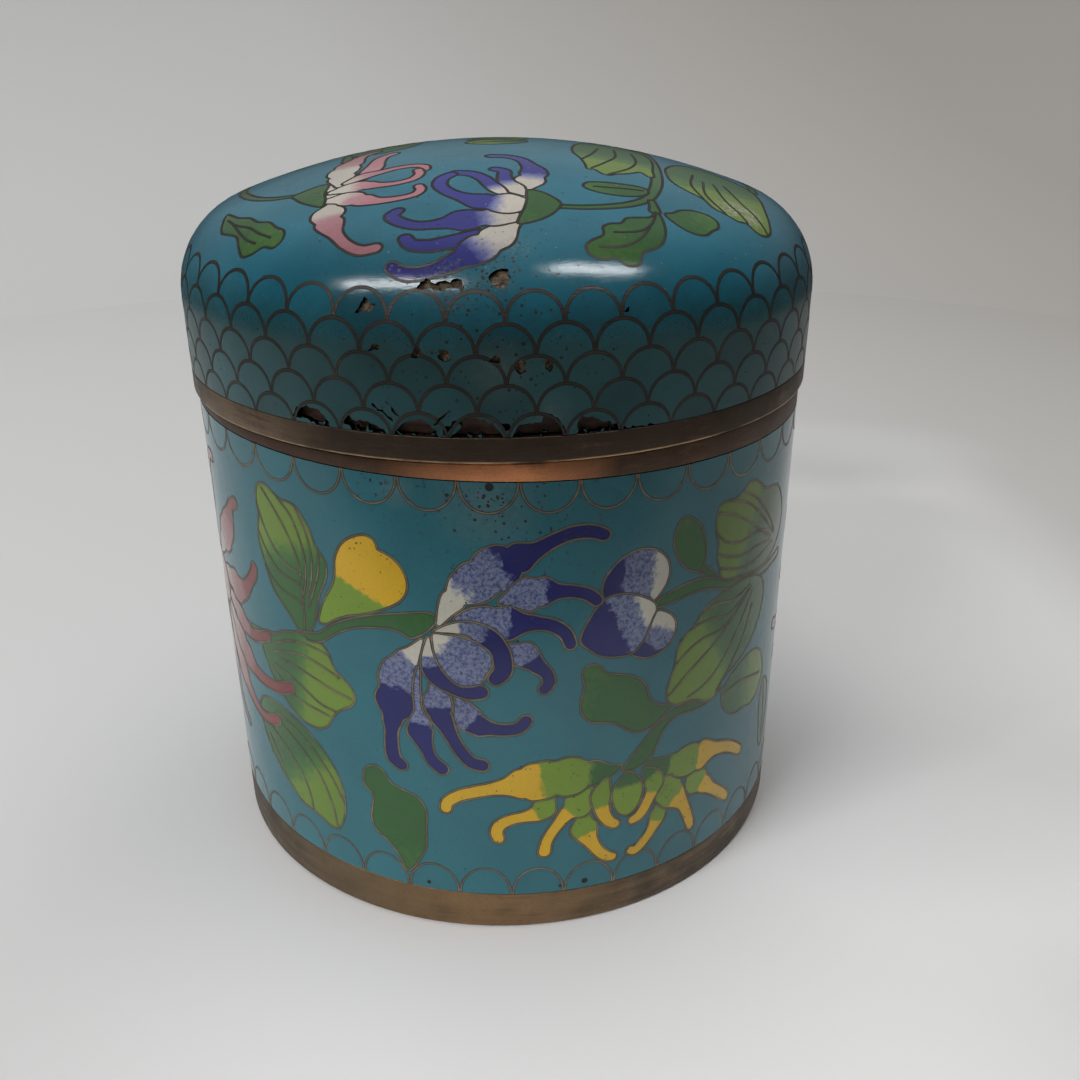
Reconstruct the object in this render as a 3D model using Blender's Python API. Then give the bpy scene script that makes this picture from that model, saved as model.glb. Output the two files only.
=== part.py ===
# Cloisonne jar with a domed lift-off lid. Metres, +Z up, origin at the middle of the foot's underside.
# The front of the jar faces -Y.
import math

import bmesh
import bpy
from mathutils import Matrix, Vector

# Sizes of the body
BODY_RADIUS = 0.0475
FOOT_HEIGHT = 0.0065
BODY_ENAMEL_HEIGHT = 0.0667
MOUTH_BAND_HEIGHT = 0.0024

# Sizes of the lid
LID_OVERHANG = 0.0006
LID_RING_HEIGHT = 0.0034
LID_SIDE_HEIGHT = 0.0101
SHOULDER_RADIUS = 0.0136
CROWN_SLOPE = math.radians(21.0)

# Thicknesses and clearances
ENAMEL = 0.0008
COPPER = 0.0009
SEAM_GAP = 0.0003
LIP_CLEARANCE = 0.0004

# Hidden fittings
FOOT_WIDTH = 0.0040
BASE_RECESS = 0.0035
FLOOR_FILLET = 0.0016
LIP_HEIGHT = 0.0048
LIP_THICKNESS = 0.0009

# Edge rounding of the brass rings
FOOT_EDGE = 0.0007
RING_EDGE = 0.0002

# The enamel's two edges run slightly out of level, as fired: fall from left to right across the jar
MOUTH_SEAM_FALL = 0.0023
FOOT_SEAM_FALL = 0.0021

# Enamel lost along the lid's lower rim: angle from the front in degrees, width and height
RIM_LOSSES = (
    (-30.4, 0.0050, 0.0022),
    (-21.4, 0.0050, 0.0026),
    (-14.3, 0.0046, 0.0020),
    (-3.0, 0.0056, 0.0031),
    (3.4, 0.0046, 0.0028),
    (9.0, 0.0040, 0.0024),
    (15.5, 0.0064, 0.0020),
)

# Facets round the jar, on a quarter turn of the shoulder and across the crown
SEGMENTS = 64
SHOULDER_STEPS = 5
CROWN_STEPS = 4
FILLET_STEPS = 3
LOSS_SIDES = 16

# Colours
BRASS = ((0.32, 0.22, 0.12, 1.0), 0.42, 1.0)
COPPER_SHEET = ((0.20, 0.10, 0.06, 1.0), 0.55, 1.0)
TURQUOISE = ((0.035, 0.17, 0.21, 1.0), 0.18, 0.0)


# Heights worked out from the sizes
foot_seam = FOOT_HEIGHT
mouth_seam = foot_seam + BODY_ENAMEL_HEIGHT
mouth_top = mouth_seam + MOUTH_BAND_HEIGHT
lid_bottom = mouth_top + SEAM_GAP
lid_seam = lid_bottom + LID_RING_HEIGHT
shoulder_start = lid_seam + LID_SIDE_HEIGHT
lid_radius = BODY_RADIUS + LID_OVERHANG

# Radii worked out from the sizes
body_copper_outer = BODY_RADIUS - ENAMEL - SEAM_GAP
body_copper_inner = body_copper_outer - COPPER
lid_copper_outer = lid_radius - ENAMEL - SEAM_GAP
lid_copper_inner = lid_copper_outer - COPPER
lip_outer = lid_copper_inner - LIP_CLEARANCE
lip_inner = lip_outer - LIP_THICKNESS
floor_underside = BASE_RECESS + SEAM_GAP


def clear_scene():
    for old in list(bpy.data.objects):
        bpy.data.objects.remove(old, do_unlink=True)


def make_material(name, look):
    colour, roughness, metallic = look
    material = bpy.data.materials.new(name)
    material.use_nodes = True
    shader = material.node_tree.nodes["Principled BSDF"]
    shader.inputs["Base Color"].default_value = colour
    shader.inputs["Roughness"].default_value = roughness
    shader.inputs["Metallic"].default_value = metallic
    return material


def arc(centre, radius, start, end, steps):
    """Points on an arc in the (radius, height) plane, both ends included; angles from +radius, upwards."""
    points = []
    for step in range(steps + 1):
        angle = start + (end - start) * step / steps
        points.append((centre[0] + radius * math.cos(angle), centre[1] + radius * math.sin(angle)))
    return points


def turn(name, profile, closed, slanted_seams, material):
    """Spin a profile of (radius, height) points round the Z axis.

    A closed profile makes a ring. An open one starts and ends on the axis.
    Points at a slanted seam's height are tilted with it.
    """
    mesh = bmesh.new()
    verts = [mesh.verts.new((radius, 0.0, height)) for radius, height in profile]
    edges = [mesh.edges.new(pair) for pair in zip(verts, verts[1:])]
    if closed:
        edges.append(mesh.edges.new((verts[-1], verts[0])))
    bmesh.ops.spin(
        mesh,
        geom=verts + edges,
        cent=(0.0, 0.0, 0.0),
        axis=(0.0, 0.0, 1.0),
        angle=2.0 * math.pi,
        steps=SEGMENTS,
        use_merge=True,
    )
    bmesh.ops.remove_doubles(mesh, verts=mesh.verts, dist=1e-6)
    for height, slope in slanted_seams:
        for vert in mesh.verts:
            if abs(vert.co.z - height) < 1e-6:
                vert.co.z -= slope * vert.co.x
    bmesh.ops.triangulate(mesh, faces=mesh.faces)
    bmesh.ops.recalc_face_normals(mesh, faces=mesh.faces)
    data = bpy.data.meshes.new(name)
    mesh.to_mesh(data)
    mesh.free()
    data.materials.append(material)
    data.shade_smooth()
    data.set_sharp_from_angle(angle=math.radians(35.0))
    piece = bpy.data.objects.new(name, data)
    bpy.context.collection.objects.link(piece)
    return piece


def seam_slope(fall):
    return fall / (2.0 * BODY_RADIUS)


def dome(inset):
    """The lid's outline from the side's top to the crown's middle, moved inwards by a distance."""
    centre = (lid_radius - SHOULDER_RADIUS, shoulder_start)
    radius = SHOULDER_RADIUS - inset
    points = arc(centre, radius, 0.0, math.pi / 2.0 - CROWN_SLOPE, SHOULDER_STEPS)
    crown_radius = (centre[0] + SHOULDER_RADIUS * math.sin(CROWN_SLOPE)) / math.sin(CROWN_SLOPE) - inset
    crown_centre = points[-1][1] - crown_radius * math.cos(CROWN_SLOPE)
    for step in range(1, CROWN_STEPS + 1):
        slope = CROWN_SLOPE * (1.0 - step / CROWN_STEPS)
        points.append((crown_radius * math.sin(slope), crown_centre + crown_radius * math.cos(slope)))
    return points


def make_foot_ring(material):
    """Brass foot: a flat standing face, a ledge under the vessel and a wall round its lower edge."""
    slope = seam_slope(FOOT_SEAM_FALL)
    top = foot_seam - SEAM_GAP / 2.0
    wall_inner = body_copper_outer + SEAM_GAP
    foot_inner = BODY_RADIUS - FOOT_WIDTH
    profile = [(BODY_RADIUS, top)]
    profile += arc((BODY_RADIUS - FOOT_EDGE, FOOT_EDGE), FOOT_EDGE, 0.0, -math.pi / 2.0, FILLET_STEPS)
    profile += [(foot_inner, 0.0), (foot_inner, BASE_RECESS), (wall_inner, BASE_RECESS), (wall_inner, top)]
    return turn("foot_ring", profile, True, [(top, slope)], material)


def make_jar_body(material):
    """Copper vessel: floor, rounded lower corner and straight wall, open at the top."""
    slope = seam_slope(MOUTH_SEAM_FALL)
    bottom = floor_underside
    top = mouth_seam - SEAM_GAP / 2.0
    inner_fillet = FLOOR_FILLET - COPPER
    corner = (body_copper_outer - FLOOR_FILLET, bottom + FLOOR_FILLET)
    outer = [(0.0, bottom)]
    outer += arc(corner, FLOOR_FILLET, -math.pi / 2.0, 0.0, FILLET_STEPS)
    outer += [(body_copper_outer, top), (body_copper_inner, top)]
    inner = arc(corner, inner_fillet, 0.0, -math.pi / 2.0, FILLET_STEPS)
    inner += [(0.0, bottom + COPPER)]
    return turn("jar_body", outer + inner, False, [(top, slope)], material)


def make_body_enamel(material):
    """Enamel on the outside of the vessel, between the foot ring and the mouth ring."""
    bottom = foot_seam + SEAM_GAP / 2.0
    top = mouth_seam - SEAM_GAP / 2.0
    inner = BODY_RADIUS - ENAMEL
    profile = [(BODY_RADIUS, top), (BODY_RADIUS, bottom), (inner, bottom), (inner, top)]
    seams = [(bottom, seam_slope(FOOT_SEAM_FALL)), (top, seam_slope(MOUTH_SEAM_FALL))]
    return turn("body_enamel", profile, True, seams, material)


def make_mouth_ring(material):
    """Brass ring on the vessel's top edge, with the lip that stands up inside the lid."""
    slope = seam_slope(MOUTH_SEAM_FALL)
    bottom = mouth_seam + SEAM_GAP / 2.0
    profile = [
        (BODY_RADIUS - RING_EDGE, mouth_top),
        (BODY_RADIUS, mouth_top - RING_EDGE),
        (BODY_RADIUS, bottom),
        (lip_inner, bottom),
        (lip_inner, mouth_top + LIP_HEIGHT),
        (lip_outer, mouth_top + LIP_HEIGHT),
        (lip_outer, mouth_top),
    ]
    return turn("mouth_ring", profile, True, [(bottom, slope)], material)


def make_lid_ring(material):
    """Brass ring at the lid's lower edge."""
    top = lid_seam - SEAM_GAP / 2.0
    profile = [
        (lid_radius, top),
        (lid_radius, lid_bottom + RING_EDGE),
        (lid_radius - RING_EDGE, lid_bottom),
        (lid_copper_inner, lid_bottom),
        (lid_copper_inner, top),
    ]
    return turn("lid_ring", profile, True, [], material)


def make_lid_shell(material):
    """Copper dome of the lid, hollow underneath."""
    bottom = lid_seam + SEAM_GAP / 2.0
    outer_inset = ENAMEL + SEAM_GAP
    outer = list(reversed(dome(outer_inset)))
    inner = dome(outer_inset + COPPER)
    profile = outer + [(lid_copper_outer, bottom), (lid_copper_inner, bottom)] + inner
    return turn("lid_shell", profile, False, [], material)


def make_lid_enamel(material):
    """Enamel on the outside of the lid, with pieces lost along its lower rim."""
    bottom = lid_seam + SEAM_GAP / 2.0
    outer = list(reversed(dome(0.0)))
    inner = dome(ENAMEL)
    profile = outer + [(lid_radius, bottom), (lid_radius - ENAMEL, bottom)] + inner
    enamel = turn("lid_enamel", profile, False, [], material)
    for index, (angle, width, height) in enumerate(RIM_LOSSES):
        cutter = make_rim_cutter(index, math.radians(angle), width, height, bottom)
        cut = enamel.modifiers.new(cutter.name, "BOOLEAN")
        cut.operation = "DIFFERENCE"
        cut.solver = "EXACT"
        cut.object = cutter
    return enamel


def make_rim_cutter(index, angle, width, height, bottom):
    """An oval plug that goes through the lid's enamel at its lower edge."""
    depth = 4.0 * ENAMEL
    mesh = bmesh.new()
    bmesh.ops.create_cone(
        mesh,
        cap_ends=True,
        segments=LOSS_SIDES,
        radius1=1.0,
        radius2=1.0,
        depth=1.0,
    )
    lay_down = Matrix.Rotation(math.pi / 2.0, 4, "X")
    bmesh.ops.transform(mesh, matrix=lay_down, verts=mesh.verts)
    bmesh.ops.scale(mesh, vec=Vector((width / 2.0, depth, height)), verts=mesh.verts)
    place = Matrix.Rotation(angle, 4, "Z") @ Matrix.Translation((0.0, -lid_radius, bottom))
    bmesh.ops.transform(mesh, matrix=place, verts=mesh.verts)
    bmesh.ops.recalc_face_normals(mesh, faces=mesh.faces)
    data = bpy.data.meshes.new("rim_loss_cutter")
    mesh.to_mesh(data)
    mesh.free()
    cutter = bpy.data.objects.new("rim_loss_%d" % index, data)
    bpy.context.collection.objects.link(cutter)
    cutter.hide_render = True
    cutter.display_type = "WIRE"
    return cutter


def main():
    clear_scene()
    brass = make_material("brass", BRASS)
    copper = make_material("copper", COPPER_SHEET)
    enamel = make_material("enamel", TURQUOISE)
    make_foot_ring(brass)
    make_jar_body(copper)
    make_body_enamel(enamel)
    make_mouth_ring(brass)
    make_lid_ring(brass)
    make_lid_shell(copper)
    make_lid_enamel(enamel)


main()
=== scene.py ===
# %% [markdown]
# # A cloisonne jar with a domed lid
# The jar is a hollow copper vessel. Thin brass wires stand on edge on the copper and divide it into cells,
# each cell is filled with coloured enamel, and the whole is ground flush. The lid lifts off.
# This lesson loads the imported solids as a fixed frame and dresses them: turned brass rings, a copper
# vessel and lid, and the enamel with its wires, cut cell by cell from one drawing.

# %% Load the frame
import math

import bpy
import numpy as np
from mathutils import Matrix, Vector
from mathutils.geometry import delaunay_2d_cdt


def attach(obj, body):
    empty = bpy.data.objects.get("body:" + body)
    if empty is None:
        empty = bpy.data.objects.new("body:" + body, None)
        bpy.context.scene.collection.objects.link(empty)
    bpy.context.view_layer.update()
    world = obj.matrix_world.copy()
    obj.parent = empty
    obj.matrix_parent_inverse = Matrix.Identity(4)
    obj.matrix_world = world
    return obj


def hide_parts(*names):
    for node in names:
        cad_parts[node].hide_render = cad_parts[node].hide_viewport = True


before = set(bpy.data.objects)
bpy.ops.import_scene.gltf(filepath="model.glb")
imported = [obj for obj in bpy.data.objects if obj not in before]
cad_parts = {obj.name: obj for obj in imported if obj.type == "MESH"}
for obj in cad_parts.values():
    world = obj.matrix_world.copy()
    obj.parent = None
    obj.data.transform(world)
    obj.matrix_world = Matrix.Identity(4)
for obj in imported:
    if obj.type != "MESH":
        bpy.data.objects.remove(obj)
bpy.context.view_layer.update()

# %% [markdown]
# ## Measures
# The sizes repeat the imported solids. They are in millimetres, because wires and petals are drawn in
# millimetres, and one factor turns them into Blender's metres. The solids keep a small gap where pieces
# meet. Enamel is fused to its rings, so here that gap is drawn almost closed.

# %% Measures, in millimetres
MM = 0.001
BODY_RADIUS = 47.5
LID_RADIUS = 48.1
ENAMEL = 0.8
COPPER = 0.9
GAP = 0.3
TIGHT = 0.05
FOOT_SEAM, FOOT_FALL = 6.5, 2.1
MOUTH_SEAM, MOUTH_FALL = 73.2, 2.3
MOUTH_TOP = 75.6
LID_BOTTOM = 75.9
LID_SEAM = 79.3
SHOULDER_START = 89.4
SHOULDER_RADIUS = 13.6
CROWN_SLOPE = math.radians(21.0)
BODY_GIRTH = 2.0 * math.pi * BODY_RADIUS
LID_GIRTH = 2.0 * math.pi * LID_RADIUS
ROUND_STEPS = 192
print("girth of the body %.1f mm, of the lid %.1f mm" % (BODY_GIRTH, LID_GIRTH))

# %% [markdown]
# ## Camera
# The photograph looks down on the jar from close by. The place, the tilt and the lens were found by
# fitting the jar's outline, so they are set as numbers and the jar itself stays upright.

# %% Camera
LENS, SENSOR = 37.02, 36.0
CAMERA_PLACE = Vector((0.0, -0.17650, 0.12525))
CAMERA_YAW, CAMERA_PITCH, CAMERA_ROLL = 0.0352, 0.4356, -0.0046
ahead = Vector(
    (
        math.sin(CAMERA_YAW) * math.cos(CAMERA_PITCH),
        math.cos(CAMERA_YAW) * math.cos(CAMERA_PITCH),
        -math.sin(CAMERA_PITCH),
    )
)
level = Vector((math.cos(CAMERA_YAW), -math.sin(CAMERA_YAW), 0.0))
upward = level.cross(ahead)
across = level * math.cos(CAMERA_ROLL) + upward * math.sin(CAMERA_ROLL)
above = upward * math.cos(CAMERA_ROLL) - level * math.sin(CAMERA_ROLL)
bpy.ops.object.select_all(action="DESELECT")
bpy.ops.object.camera_add(location=CAMERA_PLACE)
camera = bpy.context.object
camera.name = "camera"
camera.data.lens = LENS
camera.data.sensor_width = SENSOR
camera.data.clip_start = 0.005
camera_turn = Matrix((across, above, -ahead)).transposed().to_4x4()
camera.matrix_world = Matrix.Translation(CAMERA_PLACE) @ camera_turn
bpy.context.scene.camera = camera
print("camera %.0f mm from the jar's axis" % (CAMERA_PLACE.length / MM))

# %% [markdown]
# ## Nodes with less typing
# A material is a tree of nodes. The first helper adds a node, sets its properties, and fills each input
# with a value or with a link from another node. The others add the kinds that are used most.


# %% Node helpers
def add(tree, kind, inputs=None, **settings):
    node = tree.nodes.new(kind)
    for name, value in settings.items():
        setattr(node, name, value)
    for name, value in (inputs or {}).items():
        if isinstance(value, bpy.types.NodeSocket):
            tree.links.new(value, node.inputs[name])
        else:
            node.inputs[name].default_value = value
    return node


def calculate(tree, operation, first, second=0.0, third=0.0, clamp=False):
    inputs = {0: first, 1: second, 2: third}
    return add(tree, "ShaderNodeMath", inputs, operation=operation, use_clamp=clamp).outputs[0]


def product(tree, first, second):
    return calculate(tree, "MULTIPLY", first, second)


def remap(tree, value, start, end, low=0.0, high=1.0):
    """Low at the start, high at the end, even in between and flat beyond."""
    return add(tree, "ShaderNodeMapRange", {0: value, 1: start, 2: end, 3: low, 4: high}).outputs[0]


def noise(tree, place, scale, detail, roughness=0.5):
    inputs = {"Vector": place, "Scale": scale, "Detail": detail, "Roughness": roughness}
    return add(tree, "ShaderNodeTexNoise", inputs).outputs[0]


def blend_colours(tree, share, first, second, way="MIX"):
    inputs = {0: share, 6: first, 7: second}
    return add(tree, "ShaderNodeMix", inputs, data_type="RGBA", blend_type=way).outputs[2]


def times(tree, vector, factor):
    inputs = {0: vector, "Scale": factor}
    return add(tree, "ShaderNodeVectorMath", inputs, operation="SCALE").outputs[0]


def ramp(tree, value, stops):
    node = add(tree, "ShaderNodeValToRGB", {0: value})
    points = node.color_ramp.elements
    while len(points) < len(stops):
        points.new(0.5)
    for point, (place, colour) in zip(points, stops):
        point.position = place
        point.color = colour
    return node.outputs[0]


def grey(value):
    return (value, value, value, 1.0)


print("node helpers are ready")

# %% [markdown]
# ## Stage and light
# The jar stands on a pale seamless sheet that rises to a pale wall all round. The room behind the camera
# is dim, so the jar mirrors pale paper only in its lower half. The wall is therefore left out of the
# mirrored view, and a dark cloth lies in front, which isn't seen itself. A low window lights the jar from
# the front left, past a small card that shades the lid's side. Two long ceiling tubes are only there to be
# mirrored on the lid's shoulder, and a wide soft glow lights the paper.

# %% Stage
FLOOR_RADIUS = 0.42
SWEEP_RADIUS = 0.30
WALL_TOP = 1.1
SWEEP_STEPS = 12


def ring_of_paper(name, inner, rise_steps):
    """A flat disc, or a wall that curves up from a circle."""
    bpy.ops.object.select_all(action="DESELECT")
    fill = "NOTHING" if rise_steps else "TRIFAN"
    bpy.ops.mesh.primitive_circle_add(vertices=128, radius=inner, fill_type=fill)
    paper_piece = bpy.context.object
    paper_piece.name = name
    bpy.ops.object.mode_set(mode="EDIT")
    bpy.ops.mesh.select_all(action="SELECT")
    for step in range(rise_steps):
        turn = math.pi / 2.0 * (step + 1) / rise_steps
        before = math.pi / 2.0 * step / rise_steps
        radius = inner + SWEEP_RADIUS * math.sin(turn)
        old_radius = inner + SWEEP_RADIUS * math.sin(before)
        rise = SWEEP_RADIUS * (math.cos(before) - math.cos(turn))
        bpy.ops.mesh.extrude_region_move(TRANSFORM_OT_translate={"value": (0.0, 0.0, rise)})
        bpy.ops.transform.resize(
            value=(radius / old_radius, radius / old_radius, 1.0),
            center_override=(0.0, 0.0, 0.0),
        )
    if rise_steps:
        climb = (0.0, 0.0, WALL_TOP - SWEEP_RADIUS)
        bpy.ops.mesh.extrude_region_move(TRANSFORM_OT_translate={"value": climb})
    bpy.ops.mesh.select_all(action="SELECT")
    bpy.ops.mesh.normals_make_consistent(inside=bool(rise_steps))
    bpy.ops.object.mode_set(mode="OBJECT")
    bpy.ops.object.shade_smooth()
    return paper_piece


sheet = ring_of_paper("stage_sheet", FLOOR_RADIUS, 0)
wall = ring_of_paper("stage_wall", FLOOR_RADIUS, SWEEP_STEPS)
wall.visible_glossy = False
wall.visible_diffuse = False
wall.visible_shadow = False
print("the stage has", len(sheet.data.polygons) + len(wall.data.polygons), "faces")

# %% Paper
# The paper's colour holds painted light and shade: it is painted darker towards the right and the back, and
# soft pale spots beside the jar paint light into part of its shadows.
PAPER_LEFT, PAPER_NEAR = grey(0.72), grey(0.69)
PAPER_DIM = (0.605, 0.595, 0.575, 1.0)
PAPER_RIGHT = (0.53, 0.51, 0.48, 1.0)
PAPER_FAR = (0.47, 0.445, 0.415, 1.0)
PAINTED_LIGHT_SPOTS = [
    ((0.015, -0.07), (0.085, 0.085), grey(0.93)),
    ((0.097, 0.055), (0.060, 0.125), grey(0.97)),
    ((0.110, 0.154), (0.050, 0.032), grey(0.68)),
    ((0.082, -0.033), (0.050, 0.032), grey(0.97)),
]
SPOT_OUTSIDE, SPOT_INSIDE = 1.15, 0.35
LEAN = 1.6
BACK_FADE = 0.3
LEFT_START = 0.25
paper = bpy.data.materials.new("pale_paper")
paper.use_nodes = True
tree = paper.node_tree
place = add(tree, "ShaderNodeTexCoord").outputs["Object"]
parts = add(tree, "ShaderNodeSeparateXYZ", {0: place}).outputs
lean = product(tree, parts[0], LEAN)
fade = product(tree, parts[1], BACK_FADE)
rise = calculate(tree, "ADD", parts[2], calculate(tree, "ADD", lean, fade))
rise = calculate(tree, "ADD", rise, LEFT_START)
shade = ramp(
    tree,
    rise,
    [
        (0.0, PAPER_LEFT),
        (0.35, PAPER_NEAR),
        (0.56, PAPER_DIM),
        (0.80, PAPER_RIGHT),
        (0.95, PAPER_FAR),
    ],
)
# Each pale spot is painted light in a shadow on the paper.
for (spot_x, spot_y), (half_x, half_y), pale in PAINTED_LIGHT_SPOTS:
    away = {0: place, 1: (spot_x, spot_y, 0.0)}
    away = add(tree, "ShaderNodeVectorMath", away, operation="SUBTRACT").outputs[0]
    share = {0: away, 1: (half_x, half_y, half_x)}
    share = add(tree, "ShaderNodeVectorMath", share, operation="DIVIDE").outputs[0]
    gap = add(tree, "ShaderNodeVectorMath", {0: share}, operation="LENGTH").outputs["Value"]
    near = remap(tree, gap, SPOT_OUTSIDE, SPOT_INSIDE)
    near.node.interpolation_type = "SMOOTHSTEP"
    shade = blend_colours(tree, near, shade, pale)
paper_shader = tree.nodes["Principled BSDF"]
tree.links.new(shade, paper_shader.inputs["Base Color"])
paper_shader.inputs["Roughness"].default_value = 0.6
paper_shader.inputs["Specular IOR Level"].default_value = 0.3
sheet.data.materials.append(paper)
wall.data.materials.append(paper)
print("made", paper.name)


# %% Ceiling lights
def flat_light(name, place, size, power):
    bpy.ops.object.select_all(action="DESELECT")
    bpy.ops.object.light_add(type="AREA", location=place)
    light = bpy.context.object
    light.name = name
    light.data.shape = "RECTANGLE"
    light.data.size, light.data.size_y = size
    light.data.energy = power
    return light


def ceiling_light(name, start, end, height, width, power, colour=(1.0, 1.0, 1.0)):
    """A flat light that looks down, from one spot on the ceiling to another."""
    start, end = Vector((*start, height)), Vector((*end, height))
    light = flat_light(name, (start + end) / 2.0, ((end - start).length, width), power)
    light.data.color = colour
    light.rotation_euler = (0.0, 0.0, math.atan2(end.y - start.y, end.x - start.x))
    return light


TUBE_HIGH, TUBE_WIDE = 1.0, 0.15
GLOW_HIGH, GLOW_WIDE, GLOW_COLOUR = 1.2, 0.9, (1.0, 0.99, 0.975)
left_tube = ceiling_light("ceiling_tube_left", (-0.95, -0.40), (-0.20, -0.52), TUBE_HIGH, TUBE_WIDE, 9.0)
right_tube = ceiling_light("ceiling_tube_right", (0.20, -0.21), (0.66, -0.23), TUBE_HIGH, TUBE_WIDE, 4.5)
left_tube.visible_diffuse = False
right_tube.visible_diffuse = False
glow = ceiling_light("ceiling_glow", (-0.6, 0.25), (0.6, 0.25), GLOW_HIGH, GLOW_WIDE, 6.2, GLOW_COLOUR)
glow.visible_glossy = False
print("placed", left_tube.name, right_tube.name, glow.name)

# %% Window
WINDOW_TURN, WINDOW_RISE, WINDOW_AWAY = math.radians(-135.0), math.radians(40.0), 1.2
WINDOW_SIZE, WINDOW_POWER = (0.50, 0.14), 7.2
to_window = Vector(
    (
        math.cos(WINDOW_RISE) * math.cos(WINDOW_TURN),
        math.cos(WINDOW_RISE) * math.sin(WINDOW_TURN),
        math.sin(WINDOW_RISE),
    )
)
JAR_MIDDLE = Vector((0.0, 0.0, 0.05))
window = flat_light("low_window", JAR_MIDDLE + to_window * WINDOW_AWAY, WINDOW_SIZE, WINDOW_POWER)
window.rotation_euler = to_window.to_track_quat("Z", "Y").to_euler()
window.visible_glossy = False
print("placed", window.name)

# %% A card between the window and the jar
CARD_AWAY, CARD_ASIDE, CARD_LOW, CARD_SIZE = 0.20, 0.057, 0.204, (0.12, 0.040)


def screen(name, width, height):
    bpy.ops.object.select_all(action="DESELECT")
    bpy.ops.mesh.primitive_plane_add(size=1.0)
    plane = bpy.context.object
    plane.name = name
    bpy.ops.transform.resize(value=(width, height, 1.0))
    return plane


card = screen("stage_shade_card", *CARD_SIZE)
card.rotation_euler = (math.radians(90.0), 0.0, WINDOW_TURN + math.radians(90.0))
flat_way = Vector((to_window.x, to_window.y, 0.0)).normalized()
card.location = flat_way * CARD_AWAY + Vector((-flat_way.y, flat_way.x, 0.0)) * CARD_ASIDE
card.location.z = CARD_LOW + CARD_SIZE[1] / 2.0
card.visible_camera = False
card.visible_glossy = False
card.visible_diffuse = False
print("placed", card.name)

# %% Dark cloth in front
CLOTH_WIDTH = 0.9
CLOTH_LOW, CLOTH_HIGH = Vector((0.0, -0.125, 0.002)), Vector((0.0, -0.46, 0.75))
cloth = screen("stage_dark_cloth", CLOTH_WIDTH, (CLOTH_HIGH - CLOTH_LOW).length)
cloth.rotation_euler = (math.atan2(CLOTH_HIGH.z - CLOTH_LOW.z, CLOTH_HIGH.y - CLOTH_LOW.y), 0.0, 0.0)
cloth.location = (CLOTH_LOW + CLOTH_HIGH) / 2.0
cloth_look = bpy.data.materials.new("dark_cloth")
cloth_look.use_nodes = True
tree = cloth_look.node_tree
climb = add(tree, "ShaderNodeSeparateXYZ", {0: add(tree, "ShaderNodeTexCoord").outputs["Object"]}).outputs[1]
climb = calculate(tree, "ADD", climb, 0.5)
cloth_shade = ramp(tree, climb, [(0.04, grey(0.50)), (0.16, grey(0.02))])
tree.links.new(cloth_shade, tree.nodes["Principled BSDF"].inputs["Base Color"])
tree.nodes["Principled BSDF"].inputs["Roughness"].default_value = 0.9
cloth.data.materials.append(cloth_look)
cloth.visible_camera = False
cloth.visible_shadow = False
print("placed", cloth.name)

# %% Room
ROOM_STRENGTH = 0.5
world = bpy.data.worlds.new("room")
bpy.context.scene.world = world
world.use_nodes = True
tree = world.node_tree
direction = add(tree, "ShaderNodeTexCoord").outputs["Generated"]
parts = add(tree, "ShaderNodeSeparateXYZ", {0: direction}).outputs
to_the_back = calculate(tree, "MULTIPLY_ADD", parts[1], 0.5, 0.5)
towards_wall = ramp(tree, to_the_back, [(0.5, grey(0.0)), (0.75, grey(0.45)), (1.0, grey(0.60))])
overhead = ramp(tree, parts[2], [(0.5, grey(0.0)), (1.0, grey(0.5))])
above_tables = remap(tree, parts[2], 0.0, 0.35, 0.2, 1.0)
towards_wall = blend_colours(tree, 1.0, towards_wall, above_tables, "MULTIPLY")
sky = blend_colours(tree, 1.0, towards_wall, overhead, "ADD")
tree.links.new(sky, tree.nodes["Background"].inputs["Color"])
tree.nodes["Background"].inputs["Strength"].default_value = ROOM_STRENGTH
bpy.context.scene.view_settings.view_transform = "Standard"
bpy.context.scene.view_settings.look = "None"
print("the room is lit")

# %% [markdown]
# ## Turned metal
# Rings and shells are turned shapes: a cross-section, spun round the jar's axis. The section starts as
# one vertex and is extruded from corner to corner, as by hand, its corners are bevelled, and then it is
# spun. Two seams run slightly out of level, as on the fired jar, so their loops are turned a little
# about the Y axis.


# %% Draw a section
def draw_section(name, corners, closed):
    """Corners are (radius, height, softness) in millimetres. Returns the object in edit mode."""
    bpy.ops.object.select_all(action="DESELECT")
    bpy.ops.mesh.primitive_plane_add(size=MM)
    piece = bpy.context.object
    piece.name = name
    piece.data.name = name
    bpy.ops.object.mode_set(mode="EDIT")
    bpy.ops.mesh.select_mode(type="VERT")
    bpy.ops.mesh.select_all(action="SELECT")
    bpy.ops.mesh.merge(type="CENTER")
    here = (0.0, 0.0)
    for index, (radius, height, _) in enumerate(corners):
        move = ((radius - here[0]) * MM, 0.0, (height - here[1]) * MM)
        if index == 0:
            bpy.ops.transform.translate(value=move)
        else:
            bpy.ops.mesh.extrude_vertices_move(TRANSFORM_OT_translate={"value": move})
        here = (radius, height)
    if closed:
        select_near([(corners[0][0], corners[0][1]), (corners[-1][0], corners[-1][1])])
        bpy.ops.mesh.edge_face_add()
    return piece


def select_near(spots):
    """Selects the section's vertices that lie at these (radius, height) spots."""
    bpy.ops.mesh.select_all(action="DESELECT")
    bpy.ops.object.mode_set(mode="OBJECT")
    for vert in bpy.context.object.data.vertices:
        for radius, height in spots:
            if abs(vert.co.x / MM - radius) < 0.01 and abs(vert.co.z / MM - height) < 0.01:
                vert.select = True
    bpy.ops.object.mode_set(mode="EDIT")


print("sections can be drawn")


# %% Spin a section
SAME_POINT = 0.002
SEAM_REACH = 0.16
CREASE = math.radians(40.0)


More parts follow.
